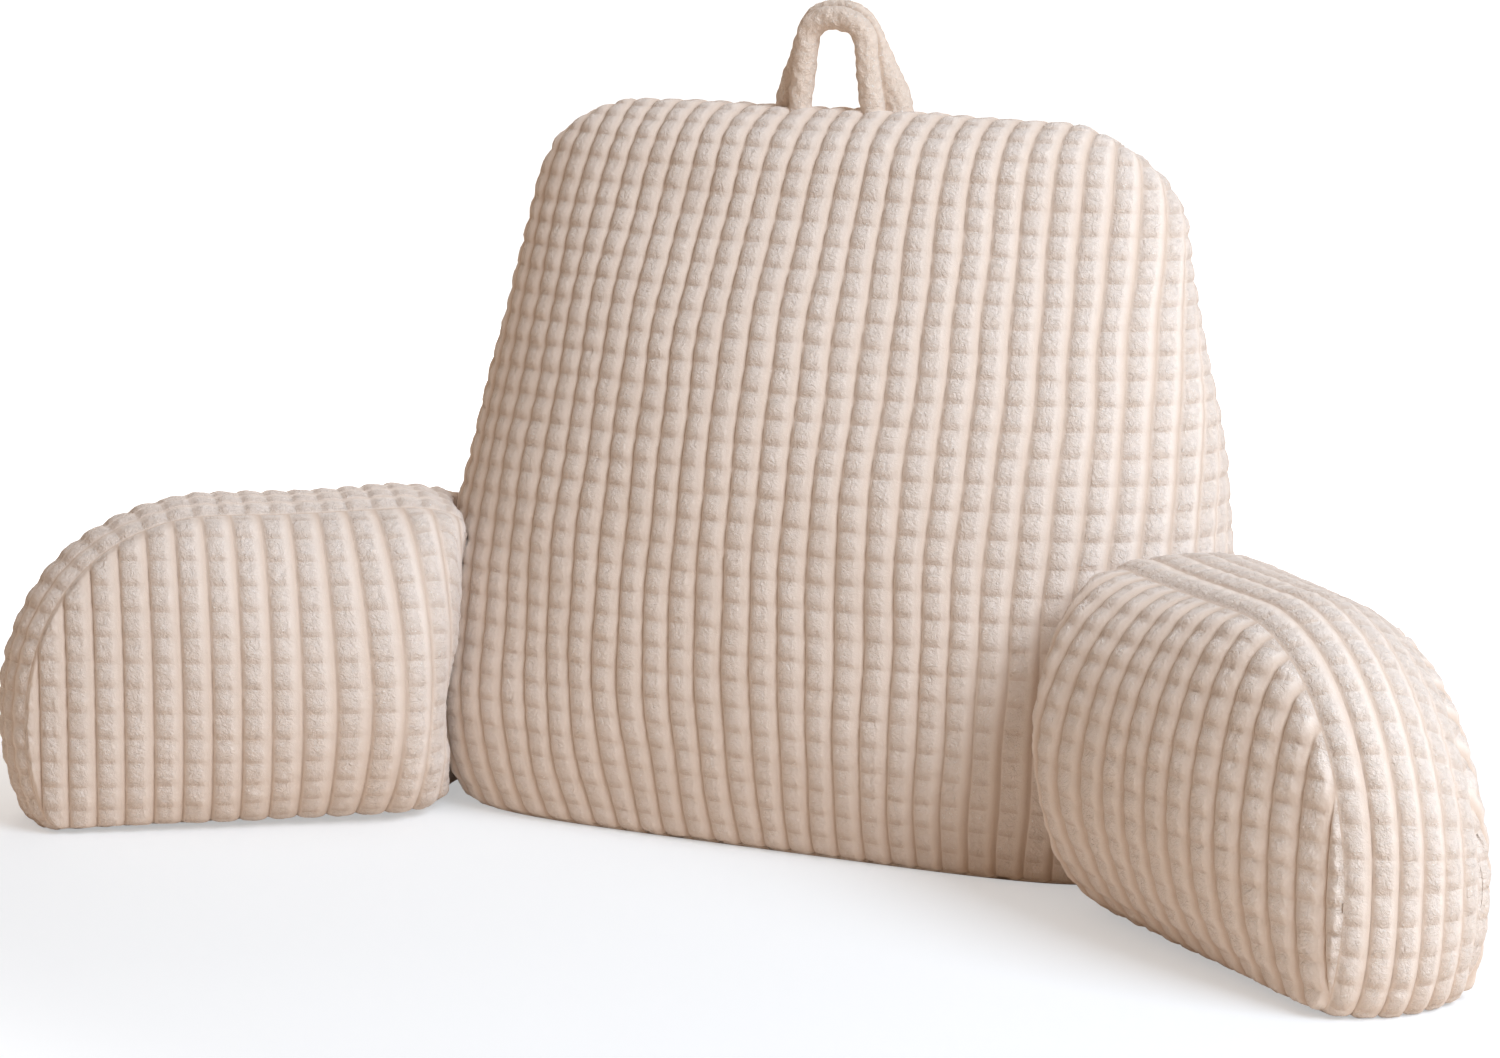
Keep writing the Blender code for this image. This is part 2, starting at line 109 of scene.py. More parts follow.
# how far each side panel bulges, its height, how quickly it rises from the nose, and its slope beyond
INNER_CROWN = (0.040, 0.087, 0.13)
OUTER_CROWN = 0.030
OUTER_CROWN_RUN = 0.139
CROWN_POWER = 0.6
BAND_BULGE_TOP = 0.012
BAND_BULGE_NOSE = 0.013
# Where the arm meets the back: how the inner side is drawn in there, and its top seam down.
ROOT_RUN = 0.050
ROOT_TUCK = 0.016
ROOT_DIP = 0.030
# how far the ribs bow towards the back, and how the top seam rises again beside it
ROOT_BOW = 0.010
ROOT_BOW_RUN = 0.120
ROOT_FLARE = 0.009
ROOT_FLARE_RUN = 0.024
# how far the inner side is lifted off the floor at the back, and how its cells fade there
ROOT_LIFT = 0.009
ROOT_LIFT_RUN = 0.035
ROOT_CALM = 0.25
ROOT_CALM_RUN = 0.080
# how the arm thins past its start, and how far the covers stay apart, which is below 0 as they overlap
ROOT_TAPER = 0.8
ROOT_TAPER_ROUND = 0.018
ROOT_CLEARANCE = -0.0010
# how far from the arm's start the join is looked for, and the level below which it goes straight down
ROOT_REACH = 0.130
ROOT_HOLD_LEVEL = 0.20
# how deep the cells are on the inner panels and on the bands, left and right
PANEL_FULLNESS = (0.60, 0.95)
BAND_FULLNESS = (1.25, 0.75)
BAND_RIBS = 6
FIRST_GROOVE = 0.012

# Where each panel's count of ribs or rows starts, so that its noise is its own.
REAR_RIBS = 200.0
PANEL_RIBS = 400.0
OUTER_PANEL_RIBS = 50.0
RIGHT_PANEL_RIBS = 100.0
BAND_FIRST_RIB = 500.0
RIGHT_BAND_RIBS = 20.0
BAND_FIRST_ROW = 90.0
END_ROWS = 12.0

# Where the mesh's lines lie, as shares of one rib and of one cell.
BACK_RIB_LINES = (0.0, 0.07, 0.20, 0.38, 0.62, 0.80, 0.93)
BACK_CELL_LINES = (0.0, 0.07, 0.20, 0.40, 0.66, 0.91)
ARM_RIB_LINES = (0.0, 0.06, 0.15, 0.27, 0.39, 0.50, 0.61, 0.73, 0.85, 0.94)
BAND_RIB_LINES = (0.0, 0.06, 0.17, 0.33, 0.50, 0.67, 0.83, 0.94)
ARM_PANEL_ROWS = 99
ARM_PANEL_RIBS = 24
# how far apart the lines round the nose are, and how far back from it they reach
NOSE_LINE_STEP = 0.003
NOSE_LINE_REACH = 0.026
# a line or a row that comes closer than this to the next one is left out
LEAST_LINE_GAP = 0.00001
LEAST_ROW_GAP = 0.001
# sizes of the rings under the base, as shares of its outline
BASE_RINGS = (0.97, 0.90, 0.76, 0.55, 0.30, 0.0)
# at how many points each curve is measured
OUTLINE_POINTS = 241
CROWN_POINTS = 240
SIDE_POINTS = 500
ARM_POINTS = 6000
NOSE_POINTS = 3000
ROLL_POINTS = 240
# how close counts as on a seam, on a groove and as the same point, and the least gap and length
NEAR_SEAM = 0.0006
NEAR_GROOVE = 1e-6
MERGE_DISTANCE = 0.000002
LEAST_GAP = 1e-6
LEAST_LENGTH = 1e-9
# how often the search for the join with the back halves its range
ROOT_HALVINGS = 36

# The handle
HANDLE_CENTRE = -0.012
HANDLE_HALF_SPREAD = 0.0277
HANDLE_SHOULDER = 0.0230
HANDLE_SQUARENESS = 2.5
HANDLE_LEG = 0.038
HANDLE_ARCH = 0.024
# how far the rear roll lies across from, behind and above the front one, at the base and at the top
HANDLE_BASE_FOLD = (0.015, 0.013, 0.0)
HANDLE_TOP_FOLD = (-0.003, 0.011, 0.004)
HANDLE_FRONT = -0.006
HANDLE_TUCK = 0.006
HANDLE_LEG_STEPS = 6
HANDLE_ARCH_STEPS = 12
ROLL_SMOOTHNESS = 6
SOFTENING_STEPS = 4

# The cloth's relief
NOISE_TABLE = np.random.default_rng(1877).random((4, 61, 67))
STRAY_NOISE, DIP_NOISE, FULLNESS_NOISE, TUFT_NOISE = range(4)
CELL_STRAY = 0.15
CELL_STRAY_PACE = 0.8
# the least share of a dip and of a cell's fullness, and how much noise adds to it
DIP_SHARE = (0.75, 0.5)
FULLNESS_SHARE = (0.93, 0.14)
# where across a rib its brushed side begins, and over how much of it the cross grooves fade
BRUSHED_FROM = 0.58
BRUSHED_RUN = 0.28
# power and fullness of the padded profile across a rib and along a cell
RIB_PLUMPNESS = (2.8, 1.7)
CELL_PLUMPNESS = (2.0, 1.05)
TUFTS_PER_RIB = 5.0
TUFTS_PER_CELL = 5.3
# lengths and phases of the slow waves in the stuffing, in the ribs' lines and in the strap's pile
STUFFING_WAVES = ((0.021, 1.0), (0.043, 2.0))
RIB_WAVES = ((0.034, 3.0), (0.013, 5.0))
STRAP_WAVES = ((0.0010, 4.0), (0.0026, 6.0))
SHORT_WAVE_SHARE = 0.6
# the stuffing's waves fade out below this height
EVEN_BELOW = 0.03

# The painted shade and the tufts on a rib: ranges across it from its left groove, and up a cell from its
# lower edge.
LEFT_GROOVE_SHADE = (0.0, 0.11)
RIGHT_GROOVE_SHADE = (0.66, 1.02)
SHELTER = (0.0, 0.5)
SHELTER_SHADE = 0.35
TUFTS_BEGIN = (0.03, 0.14)
TUFTS_END = (0.50, 0.78)
LOWER_SHADE_BEGINS = (0.0, 0.03)
LOWER_SHADE_ENDS = (0.05, 0.42)

# The pile: scale, detail, roughness and distortion of its noises, and the ranges read from them.
PATCH_NOISE = (130.0, 3.0, 0.6, 0.8)
CLUMP_NOISE = (240.0, 4.0, 0.65, 1.2)
STRAND_NOISE = (1100.0, 2.0, 0.6, 0.5)
CLUMPS_IN_PATCHES = 0.6
CRUSHED_RANGE = (0.42, 0.60)
GLINT_STRANDS = (0.54, 0.66)
GLINT_CLUMPS = (0.50, 0.62)
STRANDS_IN_HEIGHT = 0.30
MEAN_HEIGHT = 0.65
# how much of the pile is left on a rib's smooth side
SMOOTH_SIDE_PILE = 0.2
PILE_DEPTH = 0.0024
ROUGHNESS = (0.85, 1.0)
PLUSH_SHADER = {
    "Specular IOR Level": 0.20,
    "Sheen Weight": 0.30,
    "Sheen Roughness": 0.45,
    "Sheen Tint": (1.0, 0.95, 0.91, 1.0),
}

# The stage
WHITE = (1.0, 1.0, 1.0, 1.0)
FLOOR_SHADER = {"Roughness": 0.9, "Specular IOR Level": 0.1, "Emission Color": WHITE}
FLOOR_RADIUS = 45.0
FLOOR_SIDES = 96
FLOOR_DROP = 0.0003
# the distances from the middle between which the floor's glow becomes full
GLOW_SPREAD = (0.50, 1.00)
# colour of the light that the floor casts, and of the floor as it is seen
FLOOR_CAST = (0.93, 0.82, 0.72)
FLOOR_SEEN = (0.56, 0.58, 0.60)
SURROUND_COLOUR = (1.0, 0.77, 0.59, 1.0)
LIGHT_WIDTH = 1.8
# name, setting of its power, place, the place it points at, colour
LIGHTS = (
    ("key_right", "key_power", (2.40, -0.90, 2.20), (0.0, 0.0, 0.22), (0.97, 1.12, 1.28)),
    ("top_soft", "top_power", (0.2, 0.2, 2.4), (0.0, 0.0, 0.2), (1.0, 1.08, 1.2)),
    ("rear_fill", "rear_power", (-1.5, 2.5, 1.1), (0.0, 0.1, 0.2), (1.0, 0.95, 0.90)),
)
CAMERA_PLACE = (1.0478, -2.0567, 0.6111)
CAMERA_TARGET = (-0.0197, 0.0059, 0.2139)
SENSOR_WIDTH = 36.0
CAMERA_SEES = (0.05, 120.0)

# The kinds of setting
LENGTH = {"unit": "LENGTH"}
POWER = {"unit": "POWER"}
SHARE = {"subtype": "FACTOR"}
COLOUR = {"subtype": "COLOR"}
NUMBER = {}


def setting(kind, name, default, description):
    """A number or a colour that the panel shows."""
    make = bpy.props.FloatVectorProperty if kind is COLOUR else bpy.props.FloatProperty
    return make(name=name, description=description, default=default, **kind)


class ClothSizes(bpy.types.PropertyGroup):
    rib_pitch: setting(LENGTH, "Rib pitch", 0.020, "From one rib groove to the next")
    cell_length: setting(LENGTH, "Cell length", 0.0174, "From one cross groove to the next")
    rib_crest: setting(LENGTH, "Rib crest", 0.0016, "How far a rib stands out")
    rib_groove: setting(LENGTH, "Rib groove", 0.0020, "How deep a rib groove lies")
    cell_dip: setting(SHARE, "Cell dip", 0.54, "How deep a cross groove is, as a share of a rib's height")
    rib_lean: setting(SHARE, "Rib's fullest place", 0.50, "Where across a rib its pile stands highest")
    cell_low: setting(SHARE, "Cell's fullest place", 0.42, "Height of a cell's fullest place, as a share")
    brushed: setting(SHARE, "Brushed", 0.50, "How far the cross grooves fade on one side of a rib")
    seam_sink: setting(LENGTH, "Seam sink", 0.0016, "How deep the seams are drawn in")
    seam_fade: setting(LENGTH, "Seam fade", 0.0042, "How far from a seam the ribs are full")
    floor_fade: setting(LENGTH, "Floor fade", 0.008, "Height below which the ribs are pressed flat")
    floor_notch: setting(SHARE, "Floor notch", 0.6, "Share of a rib's height that is left at the floor")
    floor_tuck: setting(LENGTH, "Floor tuck", 0.0025, "How far the cloth turns under at the floor")
    wander: setting(LENGTH, "Rib wander", 0.0016, "How far a rib strays from its line")
    clumps: setting(LENGTH, "Clumps", 0.0010, "How far the tufts of the pile stand apart")
    unevenness: setting(LENGTH, "Unevenness", 0.0022, "How far the stuffing bulges and dips")


class ClothLook(bpy.types.PropertyGroup):
    pile_colour: setting(COLOUR, "Pile", (0.90, 0.80, 0.73), "Colour of the pile on the ribs")
    # Painted shade: this colour darkens the rib grooves, the left half of each rib, the cells' lower edges
    # and the handle's crease.
    painted_shade_colour: setting(COLOUR, "Groove", (0.60, 0.445, 0.335), "Colour deep in the grooves")
    plain_colour: setting(COLOUR, "Plain plush", (0.83, 0.685, 0.575), "Colour of the handle's plush")
    # Partly the brushed side's own pinker tone, partly painted shade: a little darker than the pile where the
    # rib slopes down to its groove.
    smooth_side_colour_and_shade: setting(COLOUR, "Smooth side", (0.87, 0.765, 0.685), "Colour of a rib's smooth side")
    crushed_colour: setting(COLOUR, "Crushed pile", (0.82, 0.70, 0.60), "Colour where the pile is crushed")
    # Painted glints: near-white colour for the light that the pile's tips catch.
    painted_glint_colour: setting(COLOUR, "Painted glints", (1.0, 0.97, 0.94), "Colour of the pile's bright tips")
    crushed_strength: setting(SHARE, "Crushed strength", 0.55, "How strongly the crushed pile shows")
    painted_glint_strength: setting(SHARE, "Painted glint strength", 0.9, "How strongly the bright tips show")
    # Painted shade: how strongly shade is painted onto the cells' lower edges.
    lower_edge_shade_strength: setting(SHARE, "Lower edge shade strength", 0.40, "How dark the cells' lower edges are")
    # Painted shade: how strongly shade is painted into the rib grooves and over each rib's left half.
    groove_shade_strength: setting(SHARE, "Groove shade strength", 0.66, "How dark the rib grooves are")
    pile_bump: setting(SHARE, "Pile bump", 0.9, "How rough the pile looks close up")


class HandleSizes(bpy.types.PropertyGroup):
    front_roll: setting(LENGTH, "Front roll", 0.0084, "Radius of the strap's front roll")
    rear_roll: setting(LENGTH, "Rear roll", 0.0098, "Radius of the strap's rear roll where it is sewn in")
    fold: setting(LENGTH, "Fold", 0.0040, "Half thickness of the cloth between the rolls")
    fuzz: setting(LENGTH, "Fuzz", 0.0004, "How far the strap's pile stands up in places")
    crease_width: setting(LENGTH, "Crease width", 0.0030, "How wide the crease between the rolls is")
    crease_depth: setting(LENGTH, "Crease depth", 0.0012, "How far the crease is drawn in")
    voxel: setting(LENGTH, "Voxel", 0.0013, "Size of the faces that the folds are fused with")


class StageSettings(bpy.types.PropertyGroup):
    key_power: setting(POWER, "Key light", 82.0, "Power of the large light on the right")
    top_power: setting(POWER, "Top light", 3.0, "Power of the light overhead")
    rear_power: setting(POWER, "Rear light", 34.0, "Power of the soft light behind")
    surround: setting(NUMBER, "Surround", 0.35, "Brightness of the surround")
    floor_glow: setting(NUMBER, "Floor glow", 0.45, "How much lighter the floor is seen than it is lit")
    lens: setting(NUMBER, "Lens", 85.06, "Focal length in millimetres")


def smooth_step(value):
    value = np.clip(value, 0.0, 1.0)
    return value * value * (3.0 - 2.0 * value)


def smooth_column(heights, values, height):
    """A smooth curve through a table's column, read at heights."""
    runs = np.diff(heights)
    slopes = np.diff(values) / runs
    tangents = np.empty_like(values)
    tangents[1:-1] = (slopes[:-1] * runs[1:] + slopes[1:] * runs[:-1]) / (runs[1:] + runs[:-1])
    tangents[0] = 1.5 * slopes[0] - 0.5 * tangents[1]
    tangents[-1] = 1.5 * slopes[-1] - 0.5 * tangents[-2]
    at = np.clip(np.searchsorted(heights, height, side="right") - 1, 0, len(runs) - 1)
    t = (height - heights[at]) / runs[at]
    rise = values[at] * (1 + 2 * t) * (1 - t) ** 2 + values[at + 1] * t * t * (3 - 2 * t)
    lean = tangents[at] * t * (1 - t) ** 2 + tangents[at + 1] * t * t * (t - 1)
    return rise + runs[at] * lean


def round_off(share, power):
    """Height of a superellipse of unit size at a share of its width."""
    return (1.0 - np.clip(share, 0.0, 1.0) ** power) ** (1.0 / power)


def drifting(table, rib, along):
    """Noise that is its own for each rib and changes smoothly along it, from 0 to 1."""
    low = np.floor(along).astype(int)
    t = smooth_step(along - low)
    values = NOISE_TABLE[table]
    rows, columns = values.shape
    return values[rib % rows, low % columns] * (1.0 - t) + values[rib % rows, (low + 1) % columns] * t


def slow_waves(first, second, wave, phase):
    """Gentle waves over two lengths, from about -1 to 1. Their odd factors keep them from repeating."""
    a = np.sin(first / wave + 1.7 * phase + 1.3 * np.sin(second / wave * 0.61 + phase))
    b = np.sin(second / wave * 0.83 - 2.3 * phase + 1.1 * np.sin(first / wave * 0.47 - phase))
    return 0.5 * (a + b)


def plump(share, power, fullness):
    """A padded profile from 0 at its groove to 1 on its crest."""
    return (1.0 - (1.0 - share) ** power) ** (1.0 / fullness)


def climb_to(share, peak):
    """From 0 at both ends of a share to 1 at its peak."""
    return np.where(share < peak, share / peak, (1.0 - share) / (1.0 - peak))


def cell_relief(sizes, ribs, rows, seam_distance, height, fuller):
    """How far the cloth stands off the stuffed shape, with its ribs parted into cells."""
    rib = np.floor(ribs + NEAR_GROOVE).astype(int)
    strayed = rows + CELL_STRAY * (drifting(STRAY_NOISE, rib, rows * CELL_STRAY_PACE) - 0.5)
    right = ribs - rib
    across = np.clip(climb_to(right, sizes.rib_lean), 0.0, 1.0)
    along = climb_to(strayed - np.floor(strayed), sizes.cell_low)
    brushed = 1.0 - sizes.brushed * smooth_step((right - BRUSHED_FROM) / BRUSHED_RUN)
    depth = DIP_SHARE[0] + DIP_SHARE[1] * drifting(DIP_NOISE, rib, rows - 0.5)
    dip = sizes.cell_dip * fuller * brushed * depth
    fullness = FULLNESS_SHARE[0] + FULLNESS_SHARE[1] * drifting(FULLNESS_NOISE, rib, rows - 0.5)
    body = plump(across, *RIB_PLUMPNESS) * fullness
    stand = sizes.rib_crest + sizes.rib_groove
    relief = stand * body * (1.0 - dip * (1.0 - plump(along, *CELL_PLUMPNESS))) - sizes.rib_groove
    tufts = drifting(TUFT_NOISE, (ribs * TUFTS_PER_RIB).astype(int), rows * TUFTS_PER_CELL) - 0.5
    relief = relief + sizes.clumps * tufts * body * brushed
    at_seam = smooth_step(seam_distance / sizes.seam_fade)
    relief = relief * at_seam - sizes.seam_sink * (1.0 - at_seam)
    low = smooth_step(height / sizes.floor_fade)
    return relief * (sizes.floor_notch + (1.0 - sizes.floor_notch) * low) - sizes.floor_tuck * (1.0 - low)


def grid_faces(rows, columns, closed):
    """Quads between the neighbouring points of a grid. A closed one runs round."""
    across = np.arange(columns if closed else columns - 1)
    first = np.arange(rows - 1)[:, None] * columns
    low = first + across[None, :]
    following = first + (across[None, :] + 1) % columns
    quads = np.stack([low, following, following + columns, low + columns], axis=-1)
    return quads.reshape(-1, 4)


def lines_on(first, last, shares):
    """Lines at the same shares of every rib or cell, from the first up to the last."""
    return (np.arange(first, last)[:, None] + np.array(shares)[None, :]).ravel()


def scene_object(name, data):
    obj = bpy.data.objects.new(name, data)
    bpy.context.scene.collection.objects.link(obj)
    return obj


def vertex_vectors(mesh, attribute):
    vectors = np.empty(len(mesh.vertices) * 3)
    mesh.vertices.foreach_get(attribute, vectors)
    return vectors.reshape(-1, 3)


def write_map(mesh, values):
    """The cloth's map, from two values at each corner of the mesh."""
    mesh.uv_layers.new(name=MAP_NAME).uv.foreach_set("vector", values.astype(np.float32).ravel())


def close_up(mesh):
    """Joins the edges that meet, and turns the faces outward."""
    shell = bmesh.new()
    shell.from_mesh(mesh)
    bmesh.ops.remove_doubles(shell, verts=shell.verts, dist=MERGE_DISTANCE)
    bmesh.ops.dissolve_degenerate(shell, edges=shell.edges, dist=MERGE_DISTANCE)
    bmesh.ops.recalc_face_normals(shell, faces=shell.faces)
    shell.to_mesh(mesh)
    shell.free()


def cloth_object(name, grids, sizes, material):
    """A closed cloth-covered form. Each grid holds x, y, z, relief, rib count and row count."""
    points = np.concatenate([grid.reshape(-1, 6) for grid, _ in grids])
    faces = []
    offset = 0
    for grid, closed in grids:
        rows, columns, _ = grid.shape
        faces.append(grid_faces(rows, columns, closed) + offset)
        offset += rows * columns
    faces = np.concatenate(faces)
    mesh = bpy.data.meshes.new(name)
    mesh.from_pydata(points[:, :3].tolist(), [], faces.tolist())
    mesh.attributes.new("relief", "FLOAT", "POINT").data.foreach_set("value", points[:, 3].astype(np.float32))
    write_map(mesh, points[faces.reshape(-1), 4:6])
    close_up(mesh)
    places = vertex_vectors(mesh, "co")
    outward = vertex_vectors(mesh, "normal")
    relief = np.empty(len(places), np.float32)
    mesh.attributes["relief"].data.foreach_get("value", relief)
    mesh.attributes.remove(mesh.attributes["relief"])
    x, y, z = places.T
    long_waves, longer_waves = STUFFING_WAVES
    # The waves run askew, so that they follow no panel.
    waves = slow_waves(x + 0.6 * y, z - 0.4 * y, *long_waves) + slow_waves(z + y, x, *longer_waves)
    relief = relief + sizes.unevenness * 0.5 * waves * smooth_step(z / EVEN_BELOW)
    places = places + outward * relief[:, None]
    places[:, 2] = np.maximum(places[:, 2], 0.0)
    places[:, 1] += BACK_SHIFT
    mesh.vertices.foreach_set("co", places.ravel())
    mesh.materials.append(material)
    mesh.shade_smooth()
    mesh.update()
    return scene_object(name, mesh)


def back_section(height):
    """Middle y, half depth, half width and the two squarenesses of the back at a height."""
    low = np.minimum(height, CROWN_START)
    front, rear, half_width, square_front, square_rear = (
        smooth_column(BACK_SECTIONS[:, 0], BACK_SECTIONS[:, column], low) for column in range(1, 6)
    )
    share = np.clip((height - CROWN_START) / CROWN_HEIGHT, 0.0, 1.0)
    shrink = round_off(share, CROWN_ROUNDNESS)
    half_width = half_width - CORNER_RADIUS * (1.0 - shrink)
    lean = CROWN_LEAN * CROWN_HEIGHT * share * (1.0 - share) ** 2
    middle = (front + rear + lean) / 2.0
    half_depth = ((rear - front) * shrink - lean) / 2.0
    return middle, half_depth, half_width, square_front, square_rear


def back_half_outline(height):
    """The right half of the outline at a height, from front centre to rear centre, and its angles."""
    middle, half_depth, half_width, square_front, square_rear = back_section(height)
    angle = np.linspace(-math.pi / 2, math.pi / 2, OUTLINE_POINTS)
    power = np.where(angle < 0.0, 2.0 / square_front, 2.0 / square_rear)
    x = half_width * np.abs(np.cos(angle)) ** power
    y = middle + half_depth * np.sign(angle) * np.abs(np.sin(angle)) ** power
    return np.stack([x, y], axis=1), angle


def seam_angle(height):
    """The seam lies on the rear corner, and runs up over the crown's corner to the ridge."""
    share = np.clip((height - CROWN_START) / CROWN_HEIGHT, 0.0, 1.0)
    return SEAM_ANGLE * (1.0 - share)


def held_to_seam(run, limit):
    """Runs along the cloth held inside the seams, and set on a seam when they come close to it."""
    held = np.clip(run, -limit, limit)
    return np.where(limit - np.abs(held) < NEAR_SEAM, np.sign(held) * limit, held)


def back_rows(cell_length):
    """Heights of the mesh's rows and the length of cloth from the floor up to each."""
    bends = np.linspace(0.0, math.pi / 2.0, CROWN_POINTS)[1:]
    up_the_side = np.linspace(0.0, CROWN_START, SIDE_POINTS)
    heights = np.append(up_the_side, CROWN_START + CROWN_HEIGHT * np.sin(bends))
    middle, half_depth, _, _, _ = back_section(heights)
    climb = np.hypot(np.diff(middle - half_depth), np.diff(heights))
    length = np.append(0.0, np.cumsum(climb))
    rows = lines_on(0, math.ceil(length[-1] / cell_length), BACK_CELL_LINES) * cell_length
    rows = np.append(rows[rows < length[-1] - LEAST_ROW_GAP], length[-1])
    return np.interp(rows, length, heights), rows


def rib_spread(height):
    """How far apart the back's ribs run at a height, as a share of their full pitch."""
    high = max(height - RIDGE_CLOSING_FROM, 0.0) / (BACK_HEIGHT - RIDGE_CLOSING_FROM)
    low = max(FLOOR_CLOSING_FROM - height, 0.0) / FLOOR_CLOSING_FROM
    return 1.0 - RIDGE_CLOSING * high**2 - FLOOR_CLOSING * low**2


def rib_stray(row, run, sign):
    """How far a rib strays from its line, from about -1 to 1: sign 1 is the front panel, -1 the rear."""
    long_waves, short_waves = RIB_WAVES
    short = slow_waves(row, run, *short_waves)
    return slow_waves(row + 3.0 * sign, run, *long_waves) + SHORT_WAVE_SHARE * short


def back_ring(sizes, height, row, columns):
    """One ring of the back: the front panel from left to right, then the rear panel right to left."""
    outline, angle = back_half_outline(height)
    half_depth = back_section(height)[1]
    to_ridge = half_depth if height > CROWN_START else sizes.seam_fade
    arc = np.append(0.0, np.cumsum(np.linalg.norm(np.diff(outline, axis=0), axis=1)))
    seam = np.interp(seam_angle(height), angle, arc)
    lift = smooth_step((height - TILT_START) / (BACK_HEIGHT - TILT_START))
    spread = rib_spread(height)
    fuller = LOW_CELLS + (1.0 - LOW_CELLS) * smooth_step(height / LOW_CELLS_UP_TO)
    off_ridge = smooth_step((half_depth - STRAY_FROM_RIDGE[0]) / STRAY_FROM_RIDGE[1])
    ring = []
    for sign, limit, from_rear in ((1.0, seam, False), (-1.0, arc[-1] - seam, True)):
        run = sign * held_to_seam(columns * spread, limit)
        inside = limit - np.abs(run)
        freedom = smooth_step(inside / STRAY_FROM_SEAM) * off_ridge
        walked = run + sizes.wander * rib_stray(row, run, sign) * freedom
        place = arc[-1] - np.abs(walked) if from_rear else np.abs(walked)
        x = np.sign(walked) * np.interp(place, arc, outline[:, 0])
        y = np.interp(place, arc, outline[:, 1])
        rise = RIDGE_TILT * x * lift
        ribs = run / (sizes.rib_pitch * spread) + (REAR_RIBS if from_rear else 0.0)
        rows = np.full_like(run, row / sizes.cell_length)
        relief = cell_relief(sizes, ribs, rows, np.minimum(inside, to_ridge), height, fuller)
        ring.append(np.stack([x + CROWN_SWAY * lift, y, height + rise, relief, ribs, rows], axis=1))
    return np.concatenate(ring)


def back_cushion_cover(sizes, material):
    """The back's cover, in rings from the middle of its base up to its ridge."""
    heights, rows = back_rows(sizes.cell_length)
    widest, _ = back_half_outline(WIDEST_HEIGHT)
    half_turn = np.linalg.norm(np.diff(widest, axis=0), axis=1).sum()
    count = math.ceil(half_turn / sizes.rib_pitch) + 1
    columns = np.append(lines_on(-count, count, BACK_RIB_LINES), count) * sizes.rib_pitch
    rings = [back_ring(sizes, height, row, columns) for height, row in zip(heights, rows)]
    floor_ring = rings[0]
    centre = floor_ring[:, :2].mean(axis=0)
    under = []
    for share in BASE_RINGS[::-1]:
        shrunk = floor_ring.copy()
        shrunk[:, :2] = centre + (shrunk[:, :2] - centre) * share
        shrunk[:, 3] = 0.0
        under.append(shrunk)
    grid = np.stack(under + rings)
    return cloth_object("back_cushion_cover", [(grid, True)], sizes, material)


def arm_side(across):
    """Height of a side's seam, length of its rounding and its roundness, at a share of the way across."""
    return tuple(inner + (outer - inner) * across for inner, outer in zip(INNER_SIDE, OUTER_SIDE))


def arm_profile(a, across):
    """Lowest and highest point of the arm's outline at A, at a share of the way across."""
    height, top_round, roundness = arm_side(across)
    top_share = (a - ARM_LENGTH + top_round) / top_round
    toe_share = (a - ARM_LENGTH + ARM_TOE_ROUND) / ARM_TOE_ROUND
    top = ARM_NOSE_HEIGHT + (height - ARM_NOSE_HEIGHT) * round_off(top_share, roundness)
    toe = ARM_NOSE_HEIGHT * (1.0 - round_off(toe_share, ARM_TOE_POWER))
    return toe, top


def seam_reach(z, across):
    """A of the seam round the nose, at a height."""
    height, top_round, roundness = arm_side(across)
    above = (z - ARM_NOSE_HEIGHT) / (height - ARM_NOSE_HEIGHT)
    below = (ARM_NOSE_HEIGHT - z) / ARM_NOSE_HEIGHT
    over = ARM_LENGTH - top_round * (1.0 - round_off(above, roundness))
    under = ARM_LENGTH - ARM_TOE_ROUND * (1.0 - round_off(below, ARM_TOE_POWER))
    return np.where(z > ARM_NOSE_HEIGHT, over, under)


def arm_thickness(a):
    """Thickness of the arm at A, without its sides' bulges."""
    share = np.clip(a / ARM_LENGTH, 0.0, 1.0)
    taper = ARM_THICKNESS_ROOT + (ARM_THICKNESS_NOSE - ARM_THICKNESS_ROOT) * share
    return taper + ROOT_TAPER * (a - np.hypot(a, ROOT_TAPER_ROUND)) / 2.0


def arm_place(a, v):
    """The place at A along the arm and V across it, from the inner side outward."""
    x = ARM_START[0] + a * math.sin(ARM_SPLAY) + v * math.cos(ARM_SPLAY)
    y = ARM_START[1] - a * math.cos(ARM_SPLAY) + v * math.sin(ARM_SPLAY)
    return x, y


def outside_back(x, y, z):
    """Positive where a point is outside the back's side, with the clearance at the join."""
    middle, half_depth, half_width, square_front, square_rear = back_section(z)
    square = np.where(y < middle, square_front, square_rear)
    width = half_width + ROOT_CLEARANCE
    depth = half_depth + ROOT_CLEARANCE
    return (np.abs(x) / width) ** square + (np.abs(y - middle) / depth) ** square - 1.0


def arm_roots(across, levels):
    """The A at which each line along the arm meets the back's side, by level and share across."""
    share = across[None, :]
    level = levels[:, None]
    tuck = ROOT_TUCK * (1.0 - share)
    height = level * (arm_side(share)[0] - ROOT_DIP * (1.0 - share))
    low = np.full(height.shape, -ROOT_REACH)
    high = np.full(height.shape, ROOT_REACH)
    for _ in range(ROOT_HALVINGS):
        a = (low + high) / 2.0
        x, y = arm_place(a, share * arm_thickness(a) + tuck)
        outside = outside_back(x, y, height) > 0.0
        high = np.where(outside, a, high)
        low = np.where(outside, low, a)
    held = high[np.searchsorted(levels, ROOT_HOLD_LEVEL)]
    return np.where(level < ROOT_HOLD_LEVEL, np.maximum(high, held), high)


def upright_fullness(level):
    """How much of a side panel's bulge it has at a level, from its base to its top."""
    return np.clip(1.0 - (2.0 * level - 1.0) ** 2, 0.0, 1.0) ** CROWN_POWER


